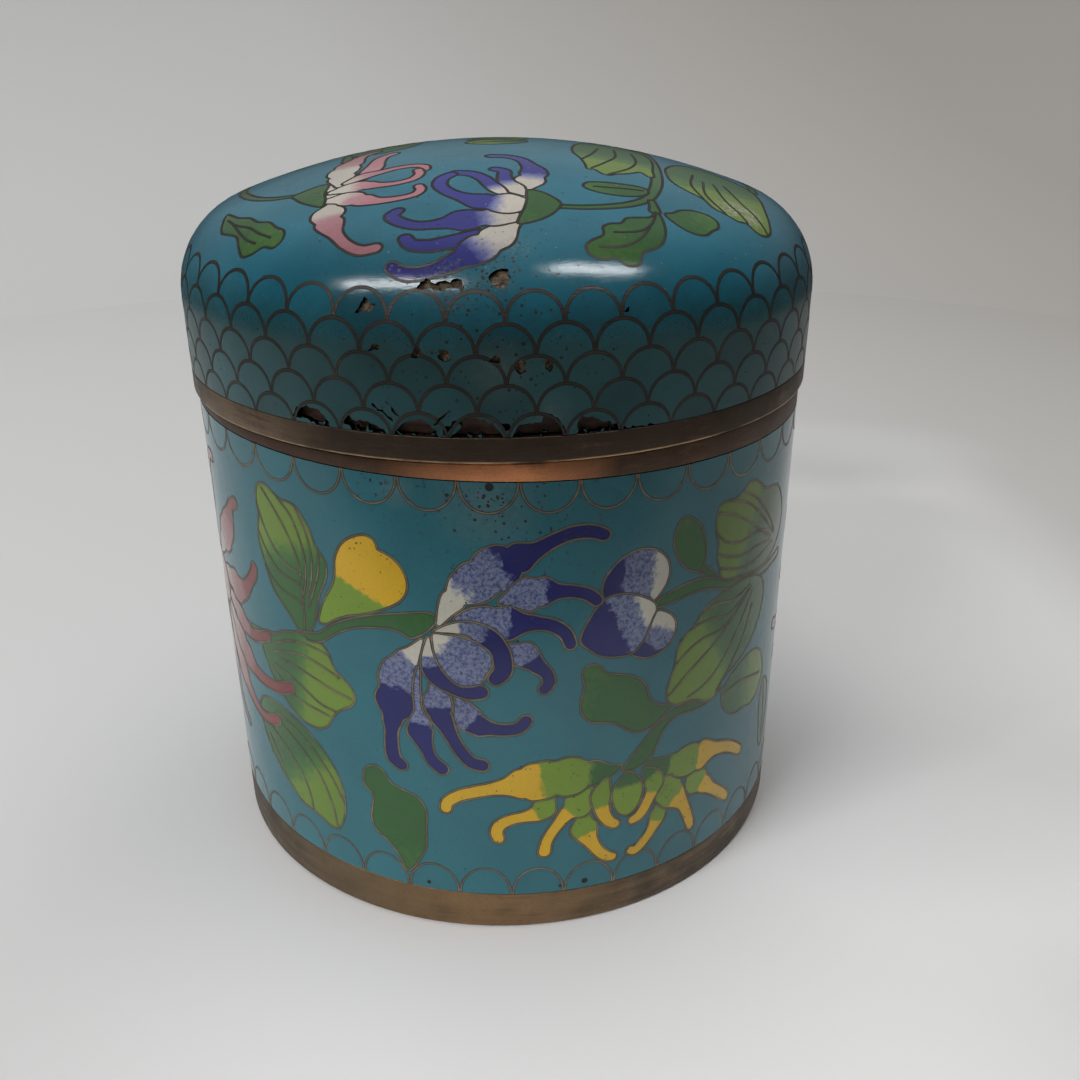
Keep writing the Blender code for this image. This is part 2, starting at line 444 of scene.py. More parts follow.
def turned(name, corners, closed, seams=(), nodes=()):
    """Spins a section round the axis. Seams are (height, fall) of loops that run out of level."""
    piece = draw_section(name, corners, closed)
    for softness in sorted({corner[2] for corner in corners if corner[2] > 0.0}):
        select_near([(corner[0], corner[1]) for corner in corners if corner[2] == softness])
        bpy.ops.mesh.bevel(offset=softness * MM, segments=4, profile=0.5, affect="VERTICES")
    bpy.ops.mesh.select_all(action="SELECT")
    bpy.ops.mesh.spin(
        steps=ROUND_STEPS,
        angle=2.0 * math.pi,
        center=(0.0, 0.0, 0.0),
        axis=(0.0, 0.0, 1.0),
        use_auto_merge=True,
    )
    bpy.ops.mesh.select_all(action="SELECT")
    bpy.ops.mesh.remove_doubles(threshold=SAME_POINT * MM)
    bpy.ops.mesh.normals_make_consistent(inside=False)
    bpy.ops.object.mode_set(mode="OBJECT")
    for height, fall in seams:
        for vert in piece.data.vertices:
            if abs(vert.co.z / MM - height) < SEAM_REACH:
                vert.co.z -= fall / (2.0 * BODY_RADIUS) * vert.co.x
    bpy.ops.object.shade_smooth_by_angle(angle=CREASE)
    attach(piece, "root")
    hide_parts(*nodes)
    print(name, "has", len(piece.data.polygons), "faces")
    return piece


# %% Foot ring, mouth ring and lid ring
BODY_COPPER = BODY_RADIUS - ENAMEL - GAP
LID_COPPER = LID_RADIUS - ENAMEL - GAP
LIP_PLAY, LIP_WALL, LIP_RISE = 0.4, 0.9, 4.8
LIP_OUTER = LID_COPPER - COPPER - LIP_PLAY
LIP_INNER = LIP_OUTER - LIP_WALL
FOOT_WIDTH = 4.0
FOOT_INNER = BODY_RADIUS - FOOT_WIDTH
FOOT_LEDGE = 3.5
foot_top = FOOT_SEAM - TIGHT
foot_ring = turned(
    "turned_foot_ring",
    [
        (BODY_RADIUS, foot_top, 0.12),
        (BODY_RADIUS, 0.0, 0.7),
        (FOOT_INNER, 0.0, 0.35),
        (FOOT_INNER, FOOT_LEDGE, 0.0),
        (BODY_COPPER + GAP, FOOT_LEDGE, 0.0),
        (BODY_COPPER + GAP, foot_top, 0.0),
    ],
    True,
    seams=[(foot_top, FOOT_FALL)],
    nodes=["foot_ring"],
)
mouth_bottom = MOUTH_SEAM + TIGHT
mouth_ring = turned(
    "turned_mouth_ring",
    [
        (BODY_RADIUS, MOUTH_TOP + TIGHT, 0.2),
        (BODY_RADIUS, mouth_bottom, 0.1),
        (LIP_INNER, mouth_bottom, 0.0),
        (LIP_INNER, MOUTH_TOP + LIP_RISE, 0.2),
        (LIP_OUTER, MOUTH_TOP + LIP_RISE, 0.25),
        (LIP_OUTER, MOUTH_TOP + TIGHT, 0.0),
    ],
    True,
    seams=[(mouth_bottom, MOUTH_FALL)],
    nodes=["mouth_ring"],
)
lid_ring = turned(
    "turned_lid_ring",
    [
        (LID_RADIUS, LID_SEAM - TIGHT, 0.12),
        (LID_RADIUS, LID_BOTTOM - TIGHT, 0.25),
        (LID_COPPER - COPPER, LID_BOTTOM - TIGHT, 0.15),
        (LID_COPPER - COPPER, LID_SEAM - TIGHT, 0.0),
    ],
    True,
    nodes=["lid_ring"],
)


# %% Copper vessel and lid shell
def dome(inset, steps=10):
    """Points (radius, height, 0) from the shoulder's start to the crown's middle, moved inwards."""
    points = []
    for step in range(steps + 1):
        angle = (math.pi / 2.0 - CROWN_SLOPE) * step / steps
        reach = SHOULDER_RADIUS - inset
        centre = LID_RADIUS - SHOULDER_RADIUS
        points.append((centre + reach * math.cos(angle), SHOULDER_START + reach * math.sin(angle), 0.0))
    for step in range(1, steps + 1):
        slope = CROWN_SLOPE * (1.0 - step / steps)
        reach = CROWN_RADIUS - inset
        points.append((reach * math.sin(slope), CROWN_CENTRE + reach * math.cos(slope), 0.0))
    return points


CROWN_RADIUS = (LID_RADIUS - SHOULDER_RADIUS) / math.sin(CROWN_SLOPE) + SHOULDER_RADIUS
CROWN_CENTRE = SHOULDER_START - (CROWN_RADIUS - SHOULDER_RADIUS) * math.cos(CROWN_SLOPE)
FLOOR_UNDER = FOOT_LEDGE + GAP
FLOOR_CORNER = 1.6
vessel = turned(
    "copper_vessel",
    [
        (0.0, FLOOR_UNDER, 0.0),
        (BODY_COPPER, FLOOR_UNDER, FLOOR_CORNER),
        (BODY_COPPER, MOUTH_SEAM - GAP / 2.0, 0.0),
        (BODY_COPPER - COPPER, MOUTH_SEAM - GAP / 2.0, 0.0),
        (BODY_COPPER - COPPER, FLOOR_UNDER + COPPER, FLOOR_CORNER - COPPER),
        (0.0, FLOOR_UNDER + COPPER, 0.0),
    ],
    False,
    seams=[(MOUTH_SEAM - GAP / 2.0, MOUTH_FALL)],
    nodes=["jar_body"],
)
outer_wall = dome(ENAMEL + GAP)
inner_wall = dome(ENAMEL + GAP + COPPER)
lid_foot = LID_SEAM + GAP / 2.0
shell = turned(
    "copper_lid_shell",
    outer_wall[::-1] + [(LID_COPPER, lid_foot, 0.0), (LID_COPPER - COPPER, lid_foot, 0.0)] + inner_wall,
    False,
    nodes=["lid_shell"],
)
print("the lid's crown is %.1f mm high" % (CROWN_CENTRE + CROWN_RADIUS))

# %% [markdown]
# ## Drawing the enamel
# The wires are drawn first, flat, as the maker lays them out. The body is drawn on its unrolled side:
# across is the way round in millimetres, up is the height. The lid is drawn on a disc, seen from above,
# where the distance from the middle is the way along the dome. A petal is a stroke: a row of beads, each
# with a half width and a shade, joined by a smooth line. A leaf or a bud is a closed outline.


# %% Smooth lines
def smooth_line(points, closed=False, step=0.6):
    """A smooth line through points. Every column after the first two is carried along."""
    p = np.array(points, float)
    p = np.vstack([p[-1:], p, p[:2]]) if closed else np.vstack([2 * p[0] - p[1], p, 2 * p[-1] - p[-2]])
    line = []
    for a, b, c, d in zip(p, p[1:], p[2:], p[3:]):
        before, here, after = (max(1e-6, np.hypot(*(v - u)[:2])) for u, v in ((a, b), (b, c), (c, d)))
        t = np.arange(max(2, math.ceil(here / step)))[:, None] / max(2, math.ceil(here / step))
        leave = (c - a) * here / (before + here)
        arrive = (d - b) * here / (here + after)
        line.append(
            (2 * t**3 - 3 * t**2 + 1) * b
            + (t**3 - 2 * t**2 + t) * leave
            + (3 * t**2 - 2 * t**3) * c
            + (t**3 - t**2) * arrive
        )
    if not closed:
        line.append(p[-2:-1])
    return np.vstack(line)


def sides_of(path, closed=False):
    """Unit directions along a path and to its left."""
    if closed:
        along = np.roll(path, -1, axis=0) - np.roll(path, 1, axis=0)
    else:
        along = np.gradient(path, axis=0)
    along = along / np.maximum(np.linalg.norm(along, axis=1), 1e-9)[:, None]
    return along, np.stack([-along[:, 1], along[:, 0]], 1)


print("lines can be drawn")

# %% Rings round strokes and outlines
LOBE, LOBE_DEPTH, LOBE_SWELL = 4.8, 0.62, 0.05
BROAD_FROM, BROAD_OVER = 1.2, 0.9


def stroke_ring(line, grow):
    """The outline of a stroke with round ends. The third column is its half width. Where a petal is
    broad its edge swells in small lobes."""
    path = line[:, :2]
    way = np.concatenate([[0.0], np.cumsum(np.hypot(*np.diff(path, axis=0).T))])
    broad = ((line[:, 2] - BROAD_FROM) / BROAD_OVER).clip(0.0, 1.0)
    notch = (1.0 - np.abs(np.sin(math.pi * way / LOBE))) ** 2
    half = line[:, 2] * (1.0 + LOBE_SWELL * broad) - LOBE_DEPTH * broad * notch + grow
    half = np.maximum(half, 0.02)[:, None]
    along, left = sides_of(path)
    turns = np.linspace(0.0, math.pi, 7)[1:-1, None]
    tip = path[-1] + half[-1] * (np.cos(turns) * left[-1] + np.sin(turns) * along[-1])
    tail = path[0] - half[0] * (np.cos(turns) * left[0] + np.sin(turns) * along[0])
    return np.vstack([path + left * half, tip, (path - left * half)[::-1], tail])


def outline_ring(line, grow):
    """A closed outline moved outwards."""
    path = line[:, :2]
    x, y = path.T
    area = np.sum(x * np.roll(y, -1) - np.roll(x, -1) * y)
    left = sides_of(path, closed=True)[1]
    return path - left * grow * np.sign(area)


def holds(ring, points):
    """Which points lie inside a ring, by counting its turns round each."""
    x, y = points[:, :1], points[:, 1:]
    ax, ay = ring.T
    bx, by = np.roll(ring, -1, axis=0).T
    left = (bx - ax) * (y - ay) - (x - ax) * (by - ay)
    turns = ((ay <= y) & (by > y) & (left > 0)).sum(1) - ((ay > y) & (by <= y) & (left < 0)).sum(1)
    return turns != 0


print("a broad petal swells in lobes %.1f mm long" % LOBE)

# %% [markdown]
# ## Cells
# A cell is one field of enamel with the wire round it. Where two overlap, the later one lies in front,
# as petals do. A vein is a wire alone. A lost piece of enamel is drawn in the same way.

# %% One cell
WIRE = 0.2


class Cell:
    """Paint names the enamel. A stroke has rows of across, up, half width and shade; an outline has
    rows of across and up, and shade_line gives two points (across, up, shade) between which it runs."""

    def __init__(self, paint, rows, shade_line=None, closed=False, wire=WIRE):
        self.paint = paint
        self.rows = np.array(rows, float)
        self.shade_line = None if shade_line is None else np.array(shade_line, float)
        self.closed = closed
        self.wire = wire

    def moved(self, move):
        """A copy with its places changed by a function of an (n, 2) array."""
        rows = self.rows.copy()
        rows[:, :2] = move(rows[:, :2])
        line = None if self.shade_line is None else self.shade_line.copy()
        if line is not None:
            line[:, :2] = move(line[:, :2])
        return Cell(self.paint, rows, line, self.closed, self.wire)

    def draw(self):
        """Works out the rings: outer holds the wire, inner the enamel."""
        self.line = smooth_line(self.rows, self.closed)
        ring = outline_ring if self.closed else stroke_ring
        self.outer = ring(self.line, self.wire)
        self.inner = None if self.paint == "wire" else ring(self.line, -self.wire)
        self.low, self.high = self.outer.min(0), self.outer.max(0)

    def shade(self, points):
        """The shade at each point: along the stroke, or between the two ends of the shade line."""
        if self.shade_line is not None:
            start, end = self.shade_line[:, :2]
            low, high = self.shade_line[:, 2]
            share = ((points - start) @ (end - start) / np.sum((end - start) ** 2)).clip(0.0, 1.0)
            return low + (high - low) * share
        if self.rows.shape[1] < 4:
            return np.zeros(len(points))
        gaps = ((points[:, None, :] - self.line[None, :, :2]) ** 2).sum(2)
        return self.line[gaps.argmin(1), 3]


print("wires are %.1f mm wide" % (2.0 * WIRE))


# %% Petals, leaves, veins and stems
STEM_SHADE = 0.35


def petals(paint, *strokes):
    return [Cell(paint, rows) for rows in strokes]


def leaf(outline, shade_line, veins=(), paint="leaf"):
    return [Cell(paint, outline, shade_line, True)] + [vein(points) for points in veins]


def vein(points):
    return Cell("wire", [(x, y, 0.0) for x, y in points])


def stem(*points):
    return Cell("leaf", [(*point, STEM_SHADE) for point in points])


def copies(cells, move, repaint=None):
    moved = [cell.moved(move) for cell in cells]
    for cell in moved:
        cell.paint = (repaint or {}).get(cell.paint, cell.paint)
    return moved


print("cells can be made")

# %% [markdown]
# ## The body's flowers
# Each number is read from the picture as a measure: how far round, how high, how wide. Shade 0 is a
# petal's base, 1 its middle and 2 its tip: white, speckled and navy for the blue flower.

# %% Blue flower
blue_flower = petals(
    "blue",
    [(-9.0, 52.8, 0.5, 0), (-7.6, 55.5, 1.5, 0), (-5.9, 57.6, 2.4, 0.5), (-3.2, 59.6, 3.2, 1),
     (-0.8, 61.3, 3.2, 1.4), (1.8, 62.6, 2.4, 2), (4.0, 63.6, 1.3, 2), (6.5, 64.9, 1.0, 2),
     (9.0, 65.7, 1.0, 2), (11.5, 65.6, 1.0, 2), (13.2, 64.9, 0.9, 2)],
    [(-0.5, 56.3, 0.6, 1), (1.5, 57.0, 1.9, 1), (3.3, 57.3, 2.6, 1), (5.2, 57.5, 2.2, 1.4),
     (7.0, 57.4, 1.2, 2), (9.0, 57.2, 0.95, 2), (11.0, 56.5, 0.95, 2), (12.3, 55.4, 0.9, 2)],
    [(0.6, 49.6, 0.5, 1), (1.7, 48.6, 1.9, 1), (2.9, 47.6, 1.8, 1.3), (4.2, 46.2, 1.2, 2),
     (5.4, 44.9, 0.95, 2), (5.7, 43.4, 0.95, 2), (5.1, 42.5, 0.9, 2)],
    [(-6.5, 53.6, 0.5, 1), (-4.5, 54.3, 1.1, 1), (-2.0, 53.9, 1.9, 1), (0.0, 53.1, 2.6, 1.3),
     (1.8, 53.0, 1.9, 2), (4.0, 52.9, 1.15, 2), (6.3, 52.3, 1.0, 2), (8.0, 50.9, 0.95, 2),
     (8.7, 49.2, 0.9, 2)],
    [(-9.6, 51.5, 0.3, 0), (-7.5, 52.1, 0.8, 0), (-5.2, 52.2, 1.2, 1), (-3.2, 51.3, 1.5, 1.4),
     (-1.4, 49.6, 1.5, 2), (-0.6, 47.6, 1.3, 2), (-0.6, 45.6, 1.3, 2), (-1.5, 44.5, 1.15, 2)],
    [(-6.9, 41.0, 0.5, 1), (-6.2, 39.6, 1.5, 1), (-5.5, 38.0, 2.1, 1.2), (-4.3, 36.9, 2.0, 1.8),
     (-2.6, 36.4, 1.2, 2), (-0.5, 36.1, 1.0, 2), (1.5, 36.4, 1.0, 2), (2.5, 37.5, 0.95, 2)],
    [(-10.3, 42.9, 0.6, 1), (-9.9, 41.4, 1.8, 1), (-9.7, 39.8, 2.05, 1.3), (-9.5, 38.3, 1.9, 2),
     (-8.7, 36.5, 1.3, 2), (-7.8, 34.4, 1.0, 2), (-6.7, 32.3, 1.0, 2), (-5.3, 30.6, 1.0, 2),
     (-3.8, 30.1, 1.05, 2)],
    [(-11.6, 49.9, 0.4, 0), (-12.9, 47.9, 1.2, 0.1), (-14.6, 45.6, 2.4, 1), (-15.5, 43.2, 2.7, 1.1),
     (-15.9, 41.2, 2.75, 1.7), (-16.1, 39.0, 2.9, 2), (-16.5, 37.0, 2.0, 2), (-16.85, 34.8, 1.1, 2),
     (-17.0, 32.0, 1.1, 2), (-16.8, 29.9, 1.15, 2), (-15.7, 28.9, 1.0, 2)],
    [(-12.2, 45.6, 0.3, 1), (-12.6, 43.0, 0.55, 1), (-12.65, 40.5, 0.6, 1), (-12.6, 38.6, 0.7, 1),
     (-12.5, 36.9, 1.7, 1.2), (-12.6, 35.5, 2.1, 2), (-12.2, 33.9, 1.5, 2), (-11.6, 32.0, 1.0, 2),
     (-10.9, 30.4, 1.0, 2), (-9.6, 29.1, 1.05, 2)],
    [(-10.6, 50.3, 0.35, 0), (-10.8, 48.0, 0.9, 0.3), (-10.4, 45.6, 1.5, 1.7), (-9.0, 44.1, 1.5, 2),
     (-7.2, 42.9, 1.2, 2), (-5.3, 42.1, 1.1, 2), (-3.7, 42.3, 1.15, 2)],
)
blue_flower += leaf(
    [(-10, 51.2), (-8, 51.2), (-6.5, 51), (-5, 50.6), (-3.5, 49.8), (-2.3, 48.7), (-1.9, 47.5),
     (-2, 46.3), (-2.8, 45), (-3.3, 43.8), (-4.3, 43.3), (-5.5, 43.1), (-6.8, 43.3), (-8.2, 44.6),
     (-9.3, 46.3), (-9.9, 48), (-10.1, 49.6)],
    [(-9.8, 50.8, 0.0), (-7.2, 48.4, 1.0)],
    paint="blue",
)
print("the blue flower has", len(blue_flower), "cells")

# %% Yellow flower
yellow_flower = petals(
    "yellow",
    [(10.9, 19.2, 1.6, 1), (11.0, 17.6, 2.15, 1), (11.6, 15.9, 1.6, 1.6), (12.5, 14.1, 1.1, 2),
     (13.6, 12.4, 1.0, 2), (14.8, 11.3, 0.95, 2), (15.6, 11.0, 0.85, 2)],
    [(6.2, 23.8, 0.6, 1), (5.2, 22.4, 1.9, 1), (4.0, 21.4, 1.6, 1.4), (2.2, 20.9, 1.05, 2),
     (0.2, 20.5, 1.0, 2), (-1.5, 19.5, 1.05, 2), (-2.0, 18.2, 1.05, 2), (-1.7, 17.1, 0.95, 2)],
    [(12.0, 24.2, 0.8, 1), (10.8, 22.8, 2.1, 1), (9.6, 21.6, 2.4, 1), (8.3, 20.6, 1.4, 1.7),
     (7.2, 19.2, 1.05, 2), (6.1, 17.6, 0.95, 2), (5.3, 15.9, 0.95, 2), (5.0, 14.2, 1.05, 2)],
    [(16.3, 27.3, 0.5, 0), (14.2, 27.0, 1.5, 0), (12.0, 27.2, 2.4, 0.45), (9.5, 27.2, 3.2, 1),
     (6.5, 27.3, 3.3, 1), (4.2, 27.0, 3.2, 1.6), (2.0, 26.8, 3.1, 2), (-0.2, 26.4, 1.7, 2),
     (-2.5, 26.0, 1.2, 2), (-5.0, 25.4, 1.1, 2), (-7.3, 24.6, 1.05, 2), (-9.0, 23.3, 1.0, 2),
     (-9.3, 22.2, 0.95, 2)],
    [(23.8, 17.6, 1.2, 1), (23.4, 15.9, 1.6, 1.2), (22.3, 13.8, 1.05, 2), (20.9, 12.0, 1.0, 2),
     (19.4, 10.9, 0.95, 2), (18.7, 11.2, 0.85, 2)],
    [(29.5, 21.5, 0.8, 1), (30.6, 19.6, 2.2, 1), (32.3, 18.1, 2.0, 1.5), (34.2, 16.4, 1.2, 2),
     (36.2, 14.6, 1.05, 2), (38.2, 12.8, 1.0, 2), (39.2, 11.8, 0.9, 2)],
    [(24.6, 24.0, 0.7, 0.6), (25.0, 21.8, 1.9, 1), (25.4, 19.6, 2.9, 1), (26.8, 18.0, 2.0, 1.5),
     (28.2, 16.2, 1.25, 2), (29.2, 14.1, 1.05, 2), (29.9, 12.1, 1.0, 2), (30.3, 11.0, 0.9, 2)],
    [(21.6, 26.2, 0.8, 0), (24.2, 25.0, 1.5, 0.2), (26.6, 24.4, 2.4, 1), (29.3, 23.9, 2.8, 1),
     (31.9, 23.6, 2.7, 1.7), (34.4, 23.3, 1.6, 2), (37.0, 22.5, 1.15, 2), (39.4, 21.3, 1.05, 2),
     (41.5, 19.8, 1.0, 2), (42.6, 18.9, 0.9, 2)],
    [(14.2, 25.2, 0.8, 0.6), (13.6, 23.3, 1.6, 1), (13.6, 21.3, 1.45, 1.3), (14.1, 19.3, 1.15, 2),
     (15.0, 17.8, 1.0, 2), (15.9, 17.1, 0.9, 2)],
    [(20.8, 25.3, 0.6, 0), (21.9, 23.8, 1.5, 0.5), (22.5, 22.2, 1.7, 1), (21.9, 20.5, 1.2, 1.6),
     (21.0, 18.7, 1.1, 2), (20.0, 17.4, 1.05, 2), (18.9, 16.9, 0.9, 2)],
)
yellow_flower += leaf(
    [(17.8, 26), (16.3, 25), (15.4, 23.6), (15.2, 22), (15.6, 20.3), (16.4, 18.8), (17.8, 18),
     (19.2, 18.7), (20.1, 20.2), (20.5, 22), (20.2, 23.7), (19.3, 25)],
    [(17.8, 24.6, 0.0), (17.8, 22.4, 1.0)],
    paint="yellow",
)
print("the yellow flower has", len(yellow_flower), "cells")

# %% Buds
yellow_bud = leaf(
    [(-27.6, 49.6), (-27.4, 51), (-26.8, 52.5), (-26, 54), (-25, 55.6), (-24.3, 57), (-24, 58.5),
     (-23.9, 60), (-23.3, 61.6), (-22.3, 63), (-20.8, 64.1), (-19, 64.7), (-17.6, 64.3),
     (-17.15, 63.5), (-17.05, 62.9), (-16, 62.5), (-14.6, 61.6), (-13.6, 60.3), (-13.1, 58.6),
     (-13.3, 57), (-14.2, 55.6), (-15.6, 54.6), (-17.5, 53.6), (-20, 52.6), (-22.5, 51.8),
     (-24.5, 50.8), (-26.3, 49.6)],
    [(-21.1, 54.4, 1.0), (-19.4, 58.2, 2.0)],
    paint="yellow",
)
heart_bud = leaf(
    [(13, 57), (13.6, 58.8), (15.2, 60.6), (17, 61.6), (19, 61.9), (21.2, 61.2), (22.8, 59.7),
     (23.4, 57.8), (23, 55.8), (21.8, 54.2), (20.6, 53.4), (18, 53.8), (15, 54.6), (13.3, 55.6)],
    [(23, 57.6, 0.0), (14, 58.4, 2.0)],
    paint="blue",
)
heart_bud += leaf(
    [(21.6, 51.9), (23.2, 51.3), (24.5, 50.1), (25, 48.7), (24.7, 47), (23.7, 45.7), (22, 44.9),
     (20.3, 44.7), (18.8, 45.2), (17.6, 46), (17.5, 48), (19.3, 50.4)],
    [(22.9, 50.3, 0.0), (19.9, 45.3, 2.0)],
    paint="blue",
)
heart_bud += leaf(
    [(21.2, 53.2), (19.3, 54.6), (17.5, 55.4), (15.7, 55.8), (13.7, 55.5), (12.3, 54.2),
     (11.1, 52.4), (10.2, 50.5), (10.1, 49.2), (11.2, 48), (13, 46.6), (15.5, 46), (17.6, 46),
     (19.2, 47.2), (20.2, 49), (20.9, 50.8), (21.5, 52.1)],
    [(20.7, 53.1, 0.0), (13.9, 50.3, 2.0)],
    paint="blue",
)
print("two buds, of", len(yellow_bud) + len(heart_bud), "cells")

# %% Leaves on the left
left_leaves = leaf(
    [(-36.2, 68.4), (-34.3, 67.6), (-33, 67), (-31, 66.9), (-29.5, 66.2), (-28.5, 64.9),
     (-27.6, 63.3), (-27, 61.6), (-26, 60.3), (-25.4, 59.2), (-25.4, 57.7), (-26, 56),
     (-26.9, 54.3), (-27.5, 52.6), (-28, 50.5), (-28.9, 48.3), (-30.5, 46.9), (-32, 47.2),
     (-33.3, 48.7), (-34.8, 50.2), (-36.6, 51.9), (-37.6, 54), (-38.3, 56.3), (-39, 58.7),
     (-38.9, 61), (-38.3, 63.2), (-38.5, 65.3), (-38.2, 67.2), (-37.4, 68.1)],
    [(-30.5, 53.5, 0.0), (-34.5, 67.0, 2.0)],
    veins=[
        [(-36.8, 67.6), (-34.6, 65.3), (-32.4, 62.4), (-30.9, 59.3), (-30.2, 56.6)],
        [(-33.5, 67), (-31.4, 65.3), (-29.9, 62.3), (-29.2, 59), (-29.4, 55.6), (-30.3, 52.5)],
        [(-30.3, 66.8), (-28.6, 63.3), (-27.9, 59.8), (-28.3, 56), (-29.4, 53)],
        [(-26.6, 60.6), (-26.9, 57.6), (-28, 54.6), (-29.3, 51.5)],
        [(-38.4, 64.6), (-37, 61.2), (-34.8, 58.3), (-32.3, 56.8), (-30.3, 56.5)],
        [(-38.8, 60.5), (-37.1, 57.6), (-34.8, 55.6), (-32.2, 54.9), (-30.4, 54.6)],
        [(-38, 55.4), (-36, 53.3), (-33.5, 52.3), (-31.6, 52), (-30.3, 51.4)],
        [(-30.3, 56.6), (-30.3, 52.5), (-30.4, 49.5), (-30.7, 47.2)],
    ],
)
left_leaves += leaf(
    [(-40, 44), (-38.5, 43.8), (-36, 45.3), (-33.5, 46.2), (-31, 46.5), (-28.8, 46.4), (-27, 45.6),
     (-26.2, 44), (-25.5, 42.4), (-24, 41.2), (-22.8, 39.9), (-22.4, 38.4), (-23.2, 37),
     (-24.8, 36), (-26, 35), (-27, 33.6), (-28, 32), (-29.8, 31), (-32, 30.9), (-34.5, 31.6),
     (-36.8, 33.2), (-38.8, 35.2), (-41, 38), (-42, 41.5)],
    [(-37.0, 40.0, 0.0), (-26.0, 38.0, 2.0)],
    veins=[
        [(-38, 42.5), (-34.5, 44.3), (-31, 45), (-28, 44.8), (-26.1, 44.4)],
        [(-38.5, 41), (-35, 42.2), (-31.5, 42.9), (-28, 42.3), (-25, 41.3)],
        [(-37, 40.3), (-33.5, 40.4), (-30, 39.8), (-26.5, 38.9), (-23.2, 38.2)],
        [(-38.5, 38.8), (-35.5, 38.3), (-32, 37), (-29, 35.6), (-26.3, 35.2)],
        [(-39.5, 38), (-36.5, 36), (-33.5, 34.7), (-30, 34.3), (-27.6, 34)],
    ],
)
left_leaves += leaf(
    [(-44, 30.5), (-40, 31.5), (-36, 31), (-32.5, 29.6), (-29.5, 27.3), (-27.3, 24.5),
     (-26.2, 21.5), (-26, 18.5), (-26.5, 15.8), (-27.8, 13.4), (-29.5, 13.2), (-31.5, 14.2),
     (-34, 14.6), (-36, 15.2), (-38, 16.8), (-40.5, 18.5), (-43, 21), (-45, 24.5), (-45.6, 28)],
    [(-38.0, 26.5, 0.0), (-29.0, 15.0, 2.0)],
    veins=[
        [(-42, 28), (-38, 27.5), (-34, 25.5), (-30.5, 22), (-28.6, 17.5), (-28, 14)],
        [(-42.5, 26), (-39, 24.5), (-35.5, 21.5), (-33.5, 18), (-33, 14.8)],
        [(-43, 24), (-41, 21.5), (-39.5, 18.5)],
        [(-40, 29.5), (-36, 29), (-31.5, 26.5), (-28, 22.5), (-26.3, 19)],
    ],
)
left_leaves += leaf(
    [(-22.2, 25.3), (-21.5, 27), (-20, 27.7), (-18.6, 27), (-17.6, 25.3), (-15.6, 24.4),
     (-13.4, 23.4), (-12.3, 21.3), (-12.4, 18), (-12.6, 14.6), (-13.7, 12), (-15, 10), (-16, 9.4),
     (-16.8, 11.5), (-18.5, 14), (-20.6, 15.8), (-21.3, 18), (-20.9, 20.5), (-20.8, 22.3),
     (-22, 23.7)],
    [(-20.0, 26.0, 0.1), (-14.0, 12.0, 0.6)],
)
print("the left leaves have", len(left_leaves), "cells and veins")

# %% Leaves on the right
right_leaves = leaf(
    [(36, 33.5), (38.5, 35.5), (41.5, 36.5), (44.5, 36.6), (47.5, 35.2), (49.5, 32.5),
     (50, 29.5), (48, 27), (45, 26.3), (42.5, 27.2), (40.5, 27.2), (38.5, 28), (36.8, 29.5),
     (35.8, 31.5)],
    [(38.0, 31.0, 0.2), (47.0, 31.0, 1.4)],
    veins=[[(36.4, 32.6), (40, 33), (44, 32), (48.5, 30.5)]],
)
right_leaves += leaf(
    [(31, 49.9), (29.6, 48.5), (27.8, 47), (26, 45.6), (25.3, 43.8), (25.1, 41.8), (24.4, 39.8),
     (23.9, 37.6), (24.3, 36), (25.8, 35), (28, 34.8), (30.2, 34.2), (32.2, 33.2), (34, 33.2),
     (34.8, 34.8), (37, 36), (40, 37), (43.5, 39), (46, 42), (47, 45.5), (46, 48.5), (43, 50.3),
     (39, 51), (35, 50.8)],
    [(37.5, 45.0, 0.0), (28.0, 40.0, 2.0)],
    veins=[
        [(24.4, 37.2), (27, 39.3), (30, 41.2), (33.3, 43), (37, 45.5), (41, 48.5)],
        [(28, 35.6), (31, 36.3), (34, 38), (37, 41), (40, 44.6), (42.5, 48)],
        [(24.9, 41.8), (27.5, 43.6), (30.5, 44.7), (34, 44.6), (38, 46.2), (42, 48.8)],
        [(25.9, 45.8), (28.6, 47.2), (32, 47.3), (36, 46.6), (40, 48)],
        [(29.3, 48.8), (33, 49.3), (37, 48.6), (41.5, 49.3)],
        [(34.3, 34.2), (37.5, 37.2), (40.6, 41), (42.8, 45.5)],
    ],
)
right_leaves += leaf(
    [(31.9, 64.2), (32.5, 65.1), (34, 65.2), (35.8, 65.1), (37.5, 65.6), (39, 66.5), (40.5, 66.4),
     (42.5, 65.2), (44.3, 63.9), (47, 63.4), (49.5, 62.6), (52, 60), (53.5, 57), (53, 54),
     (50, 51.8), (46, 51), (42, 51.2), (38, 52), (35, 52.6), (33.6, 53.3), (33, 55), (32.3, 57),
     (32.4, 59), (31.8, 61), (31.6, 62.8)],
    [(44.5, 57.0, 0.0), (35.0, 61.0, 2.0)],
    veins=[
        [(32, 63.9), (35.5, 62.6), (39.5, 60.3), (43.5, 57.5), (48, 54.5)],
        [(34.2, 65.1), (38.5, 63.6), (42, 61.2), (45.5, 58.2), (49, 55)],
        [(37.6, 65.5), (41, 63.6), (44.3, 60.8), (47.5, 57.6), (49.5, 55)],
        [(31.8, 61), (34, 58.9), (37.5, 57.7), (41, 57.7), (45, 57), (48, 55)],
        [(32.2, 57.6), (35, 56.2), (38.5, 55.3), (43, 55.2), (47.5, 54.3)],
        [(33.1, 55), (36, 53.9), (40, 53), (45, 53.2), (49, 53.6)],
    ],
)
